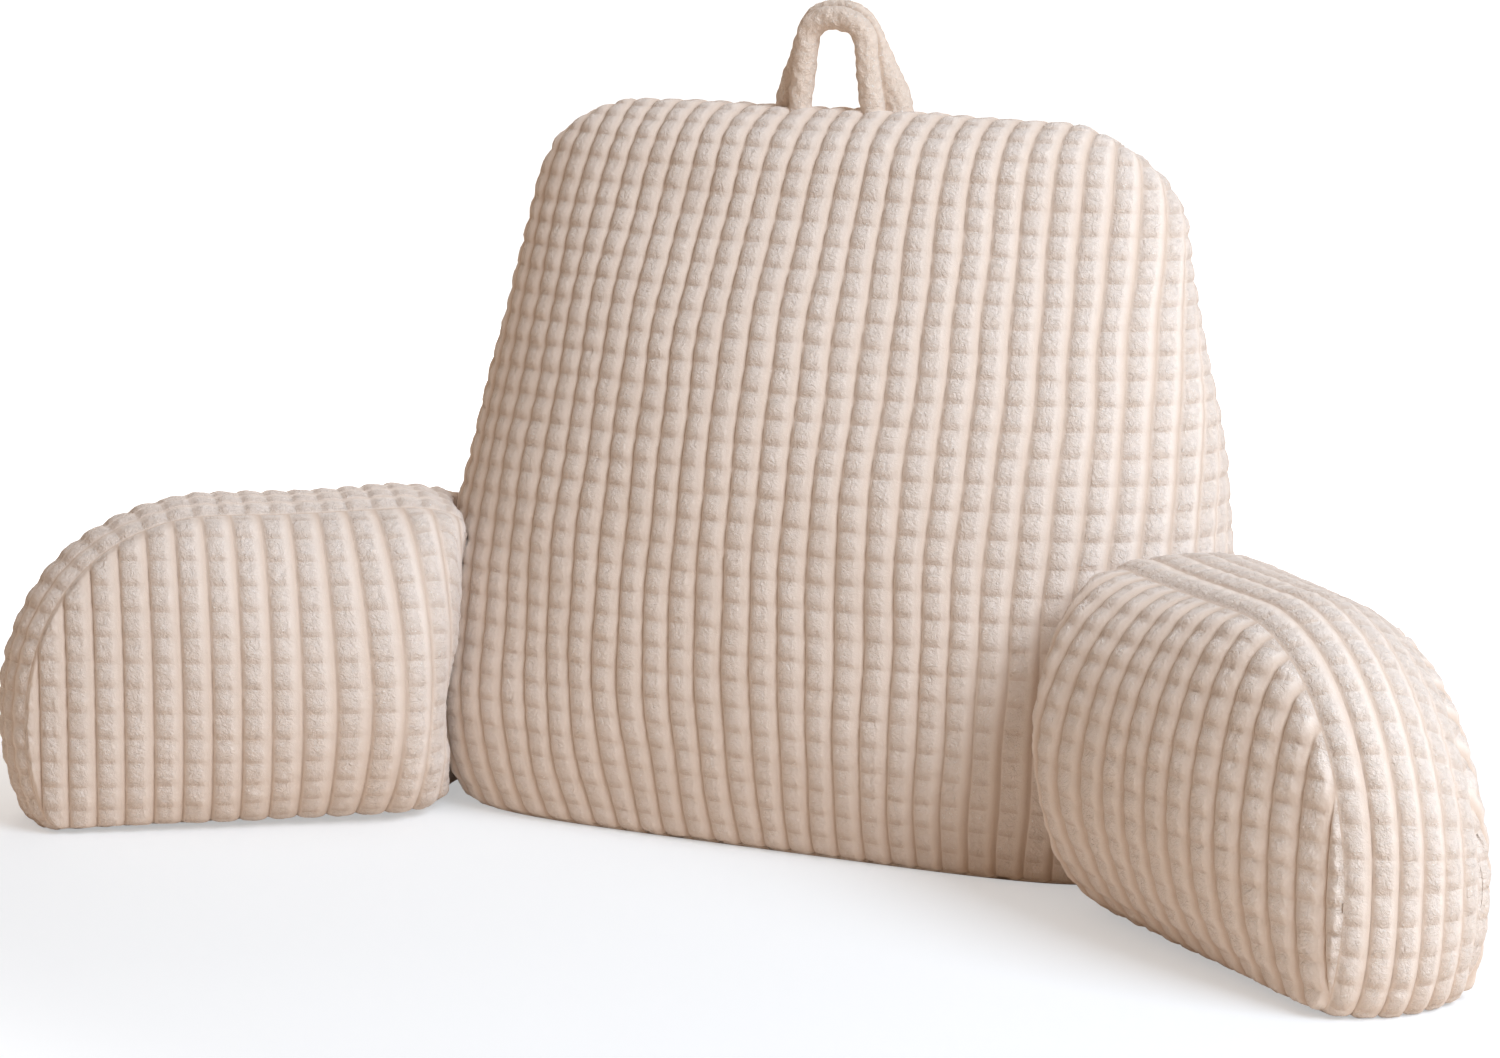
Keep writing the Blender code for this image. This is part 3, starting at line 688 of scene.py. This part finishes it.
def root_fullness(a, root):
    """How full the bulges are at A, from 0 where the arm meets the back."""
    from_root = np.clip((a - root) / ROOT_RUN, 0.0, 1.0)
    return np.sqrt(1.0 - (1.0 - from_root) ** 2)


def root_draw(a, root, across):
    """How far the inner side is drawn in, and its top seam down, close to the back."""
    near = (1.0 - root_fullness(a, root)) * (1.0 - across)
    return ROOT_TUCK * near, ROOT_DIP * near


def root_lift(a, root, across, level):
    """How far the inner side's lower corner is lifted off the floor, close to the back."""
    near = 1.0 - np.clip((a - root) / ROOT_LIFT_RUN, 0.0, 1.0)
    return ROOT_LIFT * (1.0 - across) * (1.0 - level) ** 2 * near**2


def inner_crown(a):
    """How far the inner side bulges at A."""
    height, rise, slope = INNER_CROWN
    from_nose = np.maximum(ARM_LENGTH - a, 0.0)
    return height * (1.0 - np.exp(-from_nose / rise)) + slope * from_nose


def outer_crown(a):
    """How far the outer side bulges at A."""
    return OUTER_CROWN * round_off((a - ARM_LENGTH + OUTER_CROWN_RUN) / OUTER_CROWN_RUN, 2.0)


def root_bow(a, root, level):
    """How far the middle of a rib bows towards the back, near the back."""
    share = np.clip((a - root) / ROOT_BOW_RUN, 0.0, 1.0)
    # 4 and 6.75 bring the peaks of these two curves up to 1.
    return ROOT_BOW * 4.0 * level * (1.0 - level) * 6.75 * share * (1.0 - share) ** 2


def arm_runs(columns, root):
    """Lines along the arm that end at the back, and are set on the join when they come close to it."""
    a = np.maximum(columns, root)
    return np.where(a - root < NEAR_SEAM, root, a)


def root_flare(a, root):
    """How far the top seam rises again where it meets the back."""
    from_nose = np.clip((ARM_LENGTH - a) / ROOT_FLARE_RUN, 0.0, 1.0)
    return ROOT_FLARE * np.exp(-(a - root) / ROOT_FLARE_RUN) * from_nose


def arm_points(side, a, v, z, relief, ribs, rows):
    """A grid of an arm's points: x, y, z, relief, rib count and row count."""
    x, y = arm_place(a, v)
    return np.stack(np.broadcast_arrays(side * x, y, z, relief, ribs, rows), axis=-1)


def arm_cloth_table():
    """Places along the arm and the length of the inner panel's cloth from the nose to each."""
    a = ARM_LENGTH - (ARM_LENGTH + ROOT_REACH) * np.linspace(0.0, 1.0, ARM_POINTS) ** 2
    climb = np.hypot(np.diff(a), np.diff(inner_crown(a)))
    return a[::-1], np.append(0.0, np.cumsum(climb))[::-1]


def arm_columns(sizes, places, cloth):
    """Places along the arm for the mesh's lines: on the ribs, and close together round the nose."""
    lengths = FIRST_GROOVE + (lines_on(0, ARM_PANEL_RIBS, ARM_RIB_LINES) - 1.0) * sizes.rib_pitch
    columns = [np.interp(lengths[lengths > 0.0], cloth[::-1], places[::-1]), [ARM_LENGTH]]
    back_off = NOSE_LINE_REACH * np.linspace(0.0, 1.0, NOSE_POINTS) ** 4
    for z in arm_profile(ARM_LENGTH - back_off, 0.5):
        length = np.append(0.0, np.cumsum(np.hypot(np.diff(z), np.diff(back_off))))
        stops = np.arange(NOSE_LINE_STEP, length[-1], NOSE_LINE_STEP)
        columns.append(ARM_LENGTH - np.interp(stops, length, back_off))
    columns = np.unique(np.concatenate(columns))
    return columns[np.append(np.diff(columns) > LEAST_LINE_GAP, True)]


def side_panel(sizes, side, across, columns, levels, roots, places, cloth):
    """The inner panel, across 0, or the outer panel, across 1."""
    root = roots[:, -1 if across else 0][:, None]
    level = levels[:, None]
    line = arm_runs(columns[None, :], root)
    a = line - root_bow(line, root, level) * (1.0 - across)
    toe, top = arm_profile(a, across)
    z = toe + (top - toe) * level
    crown = across * outer_crown(a) - (1.0 - across) * inner_crown(a)
    tuck, dip = root_draw(a, root, across)
    swell = crown * upright_fullness(level) * root_fullness(a, root) + tuck
    climb = np.hypot(np.diff(z, axis=0), np.diff(swell, axis=0))
    length = np.concatenate([np.zeros((1, a.shape[1])), np.cumsum(climb, axis=0)])
    middle = len(levels) // 2
    length = length - length[middle] + z[middle]
    reach = np.maximum(seam_reach(z, across) - a, LEAST_GAP)
    edge = np.full(a.shape, 1.0)
    for gap in (np.maximum(top - z, LEAST_GAP), np.maximum(z - toe, LEAST_GAP)):
        edge = np.minimum(edge, gap * reach / np.hypot(gap, reach))
    along = (np.interp(line, places, cloth) - FIRST_GROOVE) / sizes.rib_pitch
    ribs = PANEL_RIBS + OUTER_PANEL_RIBS * across + RIGHT_PANEL_RIBS * (side > 0) - side * along
    rows = length / sizes.cell_length
    calm = ROOT_CALM + (1.0 - ROOT_CALM) * smooth_step((a - root) / ROOT_CALM_RUN)
    fuller = 1.0 if across else PANEL_FULLNESS[int(side > 0)] * calm
    relief = cell_relief(sizes, ribs, rows, np.minimum(edge, a - root), z, fuller)
    z = z + root_flare(a, root) * level**2 - dip * level + root_lift(a, root, across, level)
    return arm_points(side, a, across * arm_thickness(a) + swell, z, relief, ribs, rows)


def arm_band(sizes, side, columns, across, roots):
    """The band between the side panels: over the top, round the nose and back under the base."""
    over = arm_runs(columns[:, None], roots[-1][None, :])
    under = arm_runs(columns[-2::-1, None], roots[0][None, :])
    a = np.concatenate([over, under])
    root = np.concatenate([np.broadcast_to(roots[-1], over.shape), np.broadcast_to(roots[0], under.shape)])
    tuck, _ = root_draw(a, root, across)
    _, dip = root_draw(over, roots[-1], across)
    top = arm_profile(over, across)[1] + root_flare(over, roots[-1]) - dip
    base = arm_profile(under, across)[0] + root_lift(under, roots[0], across, 0.0)
    z = np.concatenate([top, base])
    along_a = np.gradient(a, axis=0)
    along_z = np.gradient(z, axis=0)
    length = np.maximum(np.hypot(along_a, along_z), LEAST_LENGTH)
    out_a = -along_z / length
    out_z = along_a / length
    bulge = BAND_BULGE_TOP * np.maximum(out_z, 0.0) + BAND_BULGE_NOSE * np.maximum(out_a, 0.0)
    bulge = bulge * (1.0 - (2.0 * across - 1.0) ** 2) * root_fullness(a, root)
    thickness = arm_thickness(a)
    to_seam = np.minimum(across, 1.0 - across) * thickness
    middle = across.shape[0] // 2
    steps = np.hypot(np.diff(a[:, middle]), np.diff(z[:, middle]))
    cells = np.append(0.0, np.cumsum(steps)) / sizes.cell_length
    rows = BAND_FIRST_ROW - cells[:, None] + np.zeros_like(a)
    ribs = across * BAND_RIBS + BAND_FIRST_RIB + RIGHT_BAND_RIBS * (side > 0) + np.zeros_like(a)
    edge = np.minimum(to_seam, a - root)
    relief = cell_relief(sizes, ribs, rows, edge, np.maximum(z, 0.0), BAND_FULLNESS[int(side > 0)])
    swollen_z = np.maximum(z + out_z * bulge, 0.0)
    return arm_points(side, a + out_a * bulge, across * thickness + tuck, swollen_z, relief, ribs, rows)


def arm_end(sizes, side, levels, across, roots):
    """The end that is sewn to the back's side."""
    level = levels[:, None]
    v = across * arm_thickness(roots) + ROOT_TUCK * (1.0 - across)
    z = (arm_side(across)[0] - ROOT_DIP * (1.0 - across)) * level + ROOT_FLARE * level**2
    z = z + root_lift(roots, roots, across, level)
    inner = np.zeros(roots.shape)
    inner[1:-1, 1:-1] = 1.0
    floor = smooth_step(z / sizes.floor_fade)
    relief = -sizes.seam_sink * (1.0 - inner) * floor
    return arm_points(side, roots, v, z, relief, across * BAND_RIBS, level * END_ROWS)


def arm_cover(sizes, name, side, material):
    """One arm's cover: side -1 is the left one and 1 the right one."""
    places, cloth = arm_cloth_table()
    columns = arm_columns(sizes, places, cloth)
    levels = np.linspace(0.0, 1.0, ARM_PANEL_ROWS)
    across = np.append(lines_on(0, BAND_RIBS, BAND_RIB_LINES), BAND_RIBS) / BAND_RIBS
    roots = arm_roots(across, levels)
    columns = columns[columns > roots.min() - sizes.rib_pitch]
    grids = [side_panel(sizes, side, panel, columns, levels, roots, places, cloth) for panel in (0.0, 1.0)]
    grids += [arm_band(sizes, side, columns, across, roots), arm_end(sizes, side, levels, across, roots)]
    return cloth_object(name, [(grid, False) for grid in grids], sizes, material)


def crown_top(x, y):
    """Height of the crown's crests over a place near its ridge seam."""
    middle = back_section(BACK_HEIGHT)[0]
    half_depth = back_section(CROWN_START)[1]
    rise = CROWN_HEIGHT * round_off(abs(y - middle) / half_depth, CROWN_ROUNDNESS)
    return CROWN_START + rise + RIDGE_TILT * (x - CROWN_SWAY)


def handle_path():
    """Offset and rise of the front roll's middle: up one leg, over the arch and down the other."""
    lift = np.linspace(0.0, HANDLE_LEG, HANDLE_LEG_STEPS + 1)[:-1]
    spread = HANDLE_HALF_SPREAD + (HANDLE_SHOULDER - HANDLE_HALF_SPREAD) * lift / HANDLE_LEG
    bends = np.linspace(0.0, math.pi, HANDLE_ARCH_STEPS + 1)
    across = -np.sign(np.cos(bends)) * np.abs(np.cos(bends)) ** (2.0 / HANDLE_SQUARENESS)
    arch = HANDLE_ARCH * np.sin(bends) ** (2.0 / HANDLE_SQUARENESS)
    offset = np.concatenate([-spread, HANDLE_SHOULDER * across, spread[::-1]])
    return np.stack([offset, np.concatenate([lift, HANDLE_LEG + arch, lift[::-1]])], axis=1)


def roll_path(share, at_base, at_top):
    """Places and radii of a roll of the strap, at a share of the fold from its front to its rear."""
    middle = back_section(BACK_HEIGHT)[0]
    places = []
    radii = []
    for out, up in handle_path():
        blend = float(smooth_step(min(up / (HANDLE_LEG + HANDLE_ARCH), 1.0)))
        base = np.array(HANDLE_BASE_FOLD) * (out / HANDLE_HALF_SPREAD, 1.0, 1.0)
        fold = (base * (1.0 - blend) + np.array(HANDLE_TOP_FOLD) * blend) * share
        x = HANDLE_CENTRE + out + fold[0]
        y = middle + HANDLE_FRONT + fold[1]
        places.append([x, y + BACK_SHIFT, float(crown_top(x, y)) + up + fold[2]])
        radii.append(at_base + (at_top - at_base) * blend)
    places[0][2] -= HANDLE_TUCK
    places[-1][2] -= HANDLE_TUCK
    return places, radii


def strap_rolls(sizes):
    """Places and radii of the strap's front roll, of its rear roll and of the fold between them."""
    return (
        roll_path(0.0, sizes.front_roll, sizes.front_roll),
        roll_path(1.0, sizes.rear_roll, sizes.front_roll),
        roll_path(0.5, sizes.fold, sizes.fold),
    )


def only_selected(*objects):
    """Selects these objects alone, with the first one active."""
    bpy.ops.object.select_all(action="DESELECT")
    for obj in objects:
        obj.select_set(True)
    bpy.context.view_layer.objects.active = objects[0]


def cloth_roll(name, path, radii):
    """A soft round roll of cloth along a path, as a mesh with closed ends."""
    bpy.ops.curve.primitive_nurbs_path_add()
    roll = bpy.context.object
    roll.name = name
    curve = roll.data
    curve.splines.clear()
    spline = curve.splines.new("POLY")
    spline.points.add(len(path) - 1)
    for point, place, radius in zip(spline.points, path, radii):
        point.co = (*place, 1.0)
        point.radius = radius / radii[0]
    curve.bevel_depth = radii[0]
    curve.bevel_resolution = ROLL_SMOOTHNESS
    curve.use_fill_caps = True
    only_selected(roll)
    bpy.ops.object.transform_apply(location=True, rotation=True, scale=True)
    bpy.ops.object.convert(target="MESH")
    return bpy.context.object


def apply_all(obj):
    only_selected(obj)
    for modifier in list(obj.modifiers):
        bpy.ops.object.modifier_apply(modifier=modifier.name)


def from_roll(places, path, radii):
    """How far places are from the surface of a roll."""
    knots = np.arange(len(path))
    stops = np.linspace(0.0, len(path) - 1.0, ROLL_POINTS)
    centres = np.stack([np.interp(stops, knots, axis) for axis in np.array(path).T], axis=1)
    reach = np.interp(stops, knots, radii)
    return np.min(np.linalg.norm(places[:, None, :] - centres[None, :, :], axis=2) - reach, axis=1)


def crease_and_roughen(strap, sizes):
    """Draws in the crease between the rolls, marks it in the strap's map for the painted shade there, and
    raises the pile a little.
    """
    mesh = strap.data
    places = vertex_vectors(mesh, "co")
    outward = vertex_vectors(mesh, "normal")
    front, rear, _ = strap_rolls(sizes)
    off_middle = np.abs(from_roll(places, *front) - from_roll(places, *rear))
    crease = 1.0 - smooth_step(off_middle / sizes.crease_width)
    x, y, z = places.T
    short_waves, long_waves = STRAP_WAVES
    waves = slow_waves(x + 0.5 * y, z - 0.7 * y, *short_waves) + slow_waves(z + x, y - x, *long_waves)
    moved = places + outward * (sizes.fuzz * waves - sizes.crease_depth * crease)[:, None]
    mesh.vertices.foreach_set("co", moved.ravel())
    corners = np.empty(len(mesh.loops), np.int32)
    mesh.loops.foreach_get("vertex_index", corners)
    # The crease mark in the map paints shade into the crease.
    write_map(mesh, np.stack([crease[corners], np.zeros(len(corners))], axis=1))
    mesh.update()


def handle_strap(sizes, material):
    """The strap, its two rolls and the fold between them fused and softened."""
    names = ("handle_front_roll", "handle_rear_roll", "handle_fold")
    only_selected(*[cloth_roll(name, *roll) for name, roll in zip(names, strap_rolls(sizes))])
    bpy.ops.object.join()
    strap = bpy.context.object
    strap.name = "handle_strap"
    strap.data.name = "handle_strap"
    remesh = strap.modifiers.new("fuse", "REMESH")
    remesh.mode = "VOXEL"
    remesh.voxel_size = sizes.voxel
    smooth = strap.modifiers.new("soften", "SMOOTH")
    smooth.iterations = SOFTENING_STEPS
    smooth.factor = 0.5
    apply_all(strap)
    crease_and_roughen(strap, sizes)
    strap.data.materials.clear()
    strap.data.materials.append(material)
    strap.data.shade_smooth()
    return strap


def fill_socket(tree, socket, value):
    """Links a socket to another, or sets it to a value."""
    if isinstance(value, bpy.types.NodeSocket):
        tree.links.new(value, socket)
    else:
        socket.default_value = value


def set_sockets(node, values):
    for label, value in values.items():
        node.inputs[label].default_value = value


def math_node(tree, operation, *values):
    node = tree.nodes.new("ShaderNodeMath")
    node.operation = operation
    for socket, value in zip(node.inputs, values):
        fill_socket(tree, socket, value)
    return node.outputs[0]


def one_minus(tree, value):
    return math_node(tree, "SUBTRACT", 1.0, value)


def product(tree, first, second):
    return math_node(tree, "MULTIPLY", first, second)


def noise_node(tree, vector, scale, detail, roughness, distortion):
    node = tree.nodes.new("ShaderNodeTexNoise")
    set_sockets(node, {"Scale": scale, "Detail": detail, "Roughness": roughness, "Distortion": distortion})
    tree.links.new(vector, node.inputs["Vector"])
    return node.outputs["Fac"]


def range_node(tree, value, low, high, to=(0.0, 1.0), kind="SMOOTHSTEP"):
    node = tree.nodes.new("ShaderNodeMapRange")
    node.interpolation_type = kind
    set_sockets(node, {"From Min": low, "From Max": high, "To Min": to[0], "To Max": to[1]})
    tree.links.new(value, node.inputs["Value"])
    return node.outputs["Result"]


def split_node(tree, vector):
    node = tree.nodes.new("ShaderNodeSeparateXYZ")
    tree.links.new(vector, node.inputs[0])
    return node.outputs["X"], node.outputs["Y"]


def mix_colours(tree, factor, first, second):
    node = tree.nodes.new("ShaderNodeMix")
    node.data_type = "RGBA"
    tree.links.new(factor, node.inputs["Factor"])
    for label, value in (("A", first), ("B", second)):
        socket = next(s for s in node.inputs if s.name == label and s.type == "RGBA")
        fill_socket(tree, socket, value if isinstance(value, bpy.types.NodeSocket) else (*value, 1.0))
    return next(s for s in node.outputs if s.type == "RGBA")


def vector_group(name, vector, values):
    """A new node group that reads one vector and gives named values: the group, the vector, its end."""
    group = bpy.data.node_groups.new(name, "ShaderNodeTree")
    group.interface.new_socket(vector, in_out="INPUT", socket_type="NodeSocketVector")
    for label in values:
        group.interface.new_socket(label, in_out="OUTPUT", socket_type="NodeSocketFloat")
    start = group.nodes.new("NodeGroupInput")
    end = group.nodes.new("NodeGroupOutput")
    return group, start.outputs[vector], end


def read_group(tree, group, vector):
    """The values that a group gives at a vector."""
    node = tree.nodes.new("ShaderNodeGroup")
    node.node_tree = group
    tree.links.new(vector, node.inputs[0])
    return tuple(node.outputs)


def rib_shade_and_tufts_group():
    """Masks of the painted shade in the rib grooves and over each rib's left half, of the painted shade on
    the cells' lower edges, and of their tufted side, from the cloth's map.
    """
    group, cloth_map, end = vector_group("rib_marks", "Cloth map", ("Groove", "Lower edge", "Tufted"))
    rib, row = split_node(group, cloth_map)
    across = math_node(group, "FRACT", rib)
    up = math_node(group, "FRACT", row)
    # Painted shade: dark at both grooves of a rib, and a lighter shade fading across its left half.
    left = one_minus(group, range_node(group, across, *LEFT_GROOVE_SHADE))
    right = range_node(group, across, *RIGHT_GROOVE_SHADE)
    away = range_node(group, across, *SHELTER)
    sheltered = math_node(group, "MULTIPLY_ADD", away, -SHELTER_SHADE, SHELTER_SHADE)
    groove = math_node(group, "MAXIMUM", math_node(group, "MAXIMUM", left, sheltered), right)
    fading = one_minus(group, range_node(group, across, *TUFTS_END))
    tufted = product(group, fading, range_node(group, across, *TUFTS_BEGIN))
    # Painted shade on each cell's lower edge, on the tufted side only.
    above = one_minus(group, range_node(group, up, *LOWER_SHADE_ENDS))
    lower = product(group, range_node(group, up, *LOWER_SHADE_BEGINS), above)
    group.links.new(groove, end.inputs["Groove"])
    group.links.new(product(group, lower, tufted), end.inputs["Lower edge"])
    group.links.new(tufted, end.inputs["Tufted"])
    return group


def plush_pile_group():
    """Crushed patches, painted glints on the pile's tips and the height of a short plush pile."""
    group, vector, end = vector_group("plush_pile", "Vector", ("Crushed", "Fleck", "Height"))
    patches, clumps, strands = (
        noise_node(group, vector, *noise) for noise in (PATCH_NOISE, CLUMP_NOISE, STRAND_NOISE)
    )
    broad = product(group, patches, 1.0 - CLUMPS_IN_PATCHES)
    mixed = math_node(group, "MULTIPLY_ADD", clumps, CLUMPS_IN_PATCHES, broad)
    group.links.new(range_node(group, mixed, *CRUSHED_RANGE), end.inputs["Crushed"])
    # Painted glints: bright spots on the pile's tips where strands and clumps stand high.
    tips = range_node(group, strands, *GLINT_STRANDS)
    bright = product(group, tips, range_node(group, clumps, *GLINT_CLUMPS))
    group.links.new(bright, end.inputs["Fleck"])
    height = math_node(group, "MULTIPLY_ADD", strands, STRANDS_IN_HEIGHT, clumps)
    # The mean is taken off, so that a mask on the height makes no step.
    group.links.new(math_node(group, "SUBTRACT", height, MEAN_HEIGHT), end.inputs["Height"])
    return group


def principled(name, sockets):
    """A new material, its node tree and its shader, which takes the given sockets."""
    material = bpy.data.materials.new(name)
    material.use_nodes = True
    shader = material.node_tree.nodes["Principled BSDF"]
    set_sockets(shader, sockets)
    return material, material.node_tree, shader


def plush_material(name, look, ribbed, marks, pile):
    """Plush cloth. On the ribbed one, the marks paint shade into the grooves and onto the cells' lower edges,
    and smooth one side of each rib, which is also painted a little darker as shade. On the plain one, shade
    is painted into the crease. On both, painted glints brighten the pile's tips.
    """
    material, tree, shader = principled(name, PLUSH_SHADER)
    place = tree.nodes.new("ShaderNodeTexCoord")
    cloth_map = tree.nodes.new("ShaderNodeUVMap")
    cloth_map.uv_map = MAP_NAME
    surface = read_group(tree, pile, place.outputs["Object"])
    if ribbed:
        groove, lower, tufted = read_group(tree, marks, cloth_map.outputs["UV"])
        share = math_node(tree, "MULTIPLY_ADD", tufted, 1.0 - SMOOTH_SIDE_PILE, SMOOTH_SIDE_PILE)
        surface = [product(tree, value, share) for value in surface]
        # The smooth side has its own pinker tone, and is painted a little darker as shade where the rib
        # slopes to its groove.
        colour = mix_colours(tree, tufted, look.smooth_side_colour_and_shade, look.pile_colour)
        # Painted shade on the cells' lower edges and in the grooves.
        dark = (product(tree, lower, look.lower_edge_shade_strength), product(tree, groove, look.groove_shade_strength))
    else:
        colour = look.plain_colour
        # On the plain plush, the crease marked in the map gets painted shade.
        dark = split_node(tree, cloth_map.outputs["UV"])[:1]
    crushed, glint_mask, height = surface
    crushed = product(tree, crushed, look.crushed_strength)
    colour = mix_colours(tree, crushed, colour, look.crushed_colour)
    # Painted shade: each mask mixes the colour towards the shade colour.
    for mask in dark:
        colour = mix_colours(tree, mask, colour, look.painted_shade_colour)
    # Painted glints brighten the pile's tips.
    colour = mix_colours(tree, product(tree, glint_mask, look.painted_glint_strength), colour, look.painted_glint_colour)
    tree.links.new(colour, shader.inputs["Base Color"])
    tree.links.new(range_node(tree, crushed, 0.0, 1.0, ROUGHNESS, "LINEAR"), shader.inputs["Roughness"])
    bump = tree.nodes.new("ShaderNodeBump")
    set_sockets(bump, {"Strength": look.pile_bump, "Distance": PILE_DEPTH})
    tree.links.new(height, bump.inputs["Height"])
    tree.links.new(bump.outputs["Normal"], shader.inputs["Normal"])
    return material


def cloth_materials(look):
    """The ribbed plush and the plain plush, made once."""
    if "ribbed_plush_pile" not in bpy.data.materials:
        marks = rib_shade_and_tufts_group()
        pile = plush_pile_group()
        plush_material("ribbed_plush_pile", look, True, marks, pile)
        plush_material("plain_plush_pile", look, False, marks, pile)
    return bpy.data.materials["ribbed_plush_pile"], bpy.data.materials["plain_plush_pile"]


def declare(piece, node):
    """Puts a padded piece on the body, in place of its plain solid."""
    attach(piece, "root")
    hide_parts(node)


class READINGPILLOW_OT_back_cushion(bpy.types.Operator):
    """Make the back cushion's ribbed plush cover"""

    bl_idname = "reading_pillow.back_cushion"
    bl_label = "Back cushion"

    def execute(self, context):
        ribbed, _ = cloth_materials(context.scene.pillow_look)
        cover = back_cushion_cover(context.scene.pillow_cloth, ribbed)
        declare(cover, "back_cushion")
        return {"FINISHED"}


class READINGPILLOW_OT_arms(bpy.types.Operator):
    """Make the two arms' ribbed plush covers"""

    bl_idname = "reading_pillow.arms"
    bl_label = "Arms"

    def execute(self, context):
        ribbed, _ = cloth_materials(context.scene.pillow_look)
        for name, node, side in (("arm_left_cover", "arm_left", -1.0), ("arm_right_cover", "arm_right", 1.0)):
            cover = arm_cover(context.scene.pillow_cloth, name, side, ribbed)
            declare(cover, node)
        return {"FINISHED"}


class READINGPILLOW_OT_handle(bpy.types.Operator):
    """Make the folded handle of plain plush"""

    bl_idname = "reading_pillow.handle"
    bl_label = "Handle"

    def execute(self, context):
        _, plain = cloth_materials(context.scene.pillow_look)
        strap = handle_strap(context.scene.pillow_handle, plain)
        declare(strap, "handle")
        return {"FINISHED"}


def aim(obj, place, target):
    """Puts a light or a camera at a place and turns it to a target."""
    way = mathutils.Vector(target) - mathutils.Vector(place)
    obj.location = place
    obj.rotation_euler = way.to_track_quat("-Z", "Y").to_euler()


def area_light(name, power, place, target, colour):
    data = bpy.data.lights.new(name, "AREA")
    data.shape = "RECTANGLE"
    data.size = data.size_y = LIGHT_WIDTH
    data.energy = power
    data.color = colour
    aim(scene_object(name, data), place, target)


def floor_paint(glow):
    """Pale paint that shows white to the camera, and lights nothing."""
    paint, tree, shader = principled("pale_floor", FLOOR_SHADER)
    place = tree.nodes.new("ShaderNodeTexCoord")
    away = tree.nodes.new("ShaderNodeVectorMath")
    away.operation = "LENGTH"
    tree.links.new(place.outputs["Object"], away.inputs[0])
    spread = range_node(tree, away.outputs["Value"], *GLOW_SPREAD, (glow, 1.0))
    seen = tree.nodes.new("ShaderNodeLightPath").outputs["Is Camera Ray"]
    tree.links.new(mix_colours(tree, seen, FLOOR_CAST, FLOOR_SEEN), shader.inputs["Base Color"])
    tree.links.new(product(tree, spread, seen), shader.inputs["Emission Strength"])
    return paint


def white_surround(strength):
    """An even surround that lights softly and is seen as white."""
    world = bpy.data.worlds.new("surround")
    world.use_nodes = True
    tree = world.node_tree
    backdrop = tree.nodes["Background"]
    set_sockets(backdrop, {"Color": SURROUND_COLOUR, "Strength": strength})
    seen = tree.nodes.new("ShaderNodeBackground")
    set_sockets(seen, {"Color": WHITE})
    sight = tree.nodes.new("ShaderNodeLightPath")
    either = tree.nodes.new("ShaderNodeMixShader")
    tree.links.new(sight.outputs["Is Camera Ray"], either.inputs["Fac"])
    tree.links.new(backdrop.outputs["Background"], either.inputs[1])
    tree.links.new(seen.outputs["Background"], either.inputs[2])
    tree.links.new(either.outputs["Shader"], tree.nodes["World Output"].inputs["Surface"])
    return world


def make_floor(glow):
    bpy.ops.object.select_all(action="DESELECT")
    bpy.ops.mesh.primitive_circle_add(
        vertices=FLOOR_SIDES, radius=FLOOR_RADIUS, fill_type="NGON", location=(0.0, 0.0, -FLOOR_DROP)
    )
    floor = bpy.context.object
    floor.name = "floor"
    floor.data.materials.append(floor_paint(glow))


def make_camera(lens):
    data = bpy.data.cameras.new("camera")
    data.lens = lens
    data.sensor_width = SENSOR_WIDTH
    data.clip_start, data.clip_end = CAMERA_SEES
    camera = scene_object("camera", data)
    aim(camera, CAMERA_PLACE, CAMERA_TARGET)
    return camera


class READINGPILLOW_OT_stage(bpy.types.Operator):
    """Make the floor, the surround, the lights and the camera"""

    bl_idname = "reading_pillow.stage"
    bl_label = "Stage"

    def execute(self, context):
        stage = context.scene.pillow_stage
        make_floor(stage.floor_glow)
        context.scene.world = white_surround(stage.surround)
        for name, power, place, target, colour in LIGHTS:
            area_light(name, getattr(stage, power), place, target, colour)
        context.scene.camera = make_camera(stage.lens)
        context.scene.view_settings.view_transform = "Standard"
        return {"FINISHED"}


GROUPS = {
    "pillow_cloth": ClothSizes,
    "pillow_look": ClothLook,
    "pillow_handle": HandleSizes,
    "pillow_stage": StageSettings,
}
OPERATORS = (
    READINGPILLOW_OT_back_cushion,
    READINGPILLOW_OT_arms,
    READINGPILLOW_OT_handle,
    READINGPILLOW_OT_stage,
)


class READINGPILLOW_PT_pieces(bpy.types.Panel):
    bl_label = "Reading pillow"
    bl_idname = "READINGPILLOW_PT_pieces"
    bl_space_type = "VIEW_3D"
    bl_region_type = "UI"
    bl_category = "Reading pillow"

    def draw(self, context):
        layout = self.layout
        for operator in OPERATORS:
            layout.operator(operator.bl_idname)
        for name in GROUPS:
            group = getattr(context.scene, name)
            box = layout.box()
            for entry in group.__annotations__:
                box.prop(group, entry)


def register():
    for name, group in GROUPS.items():
        bpy.utils.register_class(group)
        setattr(bpy.types.Scene, name, bpy.props.PointerProperty(type=group))
    for operator in OPERATORS:
        bpy.utils.register_class(operator)
    bpy.utils.register_class(READINGPILLOW_PT_pieces)


def unregister():
    bpy.utils.unregister_class(READINGPILLOW_PT_pieces)
    for operator in reversed(OPERATORS):
        bpy.utils.unregister_class(operator)
    for name, group in reversed(GROUPS.items()):
        delattr(bpy.types.Scene, name)
        bpy.utils.unregister_class(group)


def main():
    register()
    bpy.ops.reading_pillow.back_cushion()
    bpy.ops.reading_pillow.arms()
    bpy.ops.reading_pillow.handle()
    bpy.ops.reading_pillow.stage()


if __name__ == "__main__":
    main()
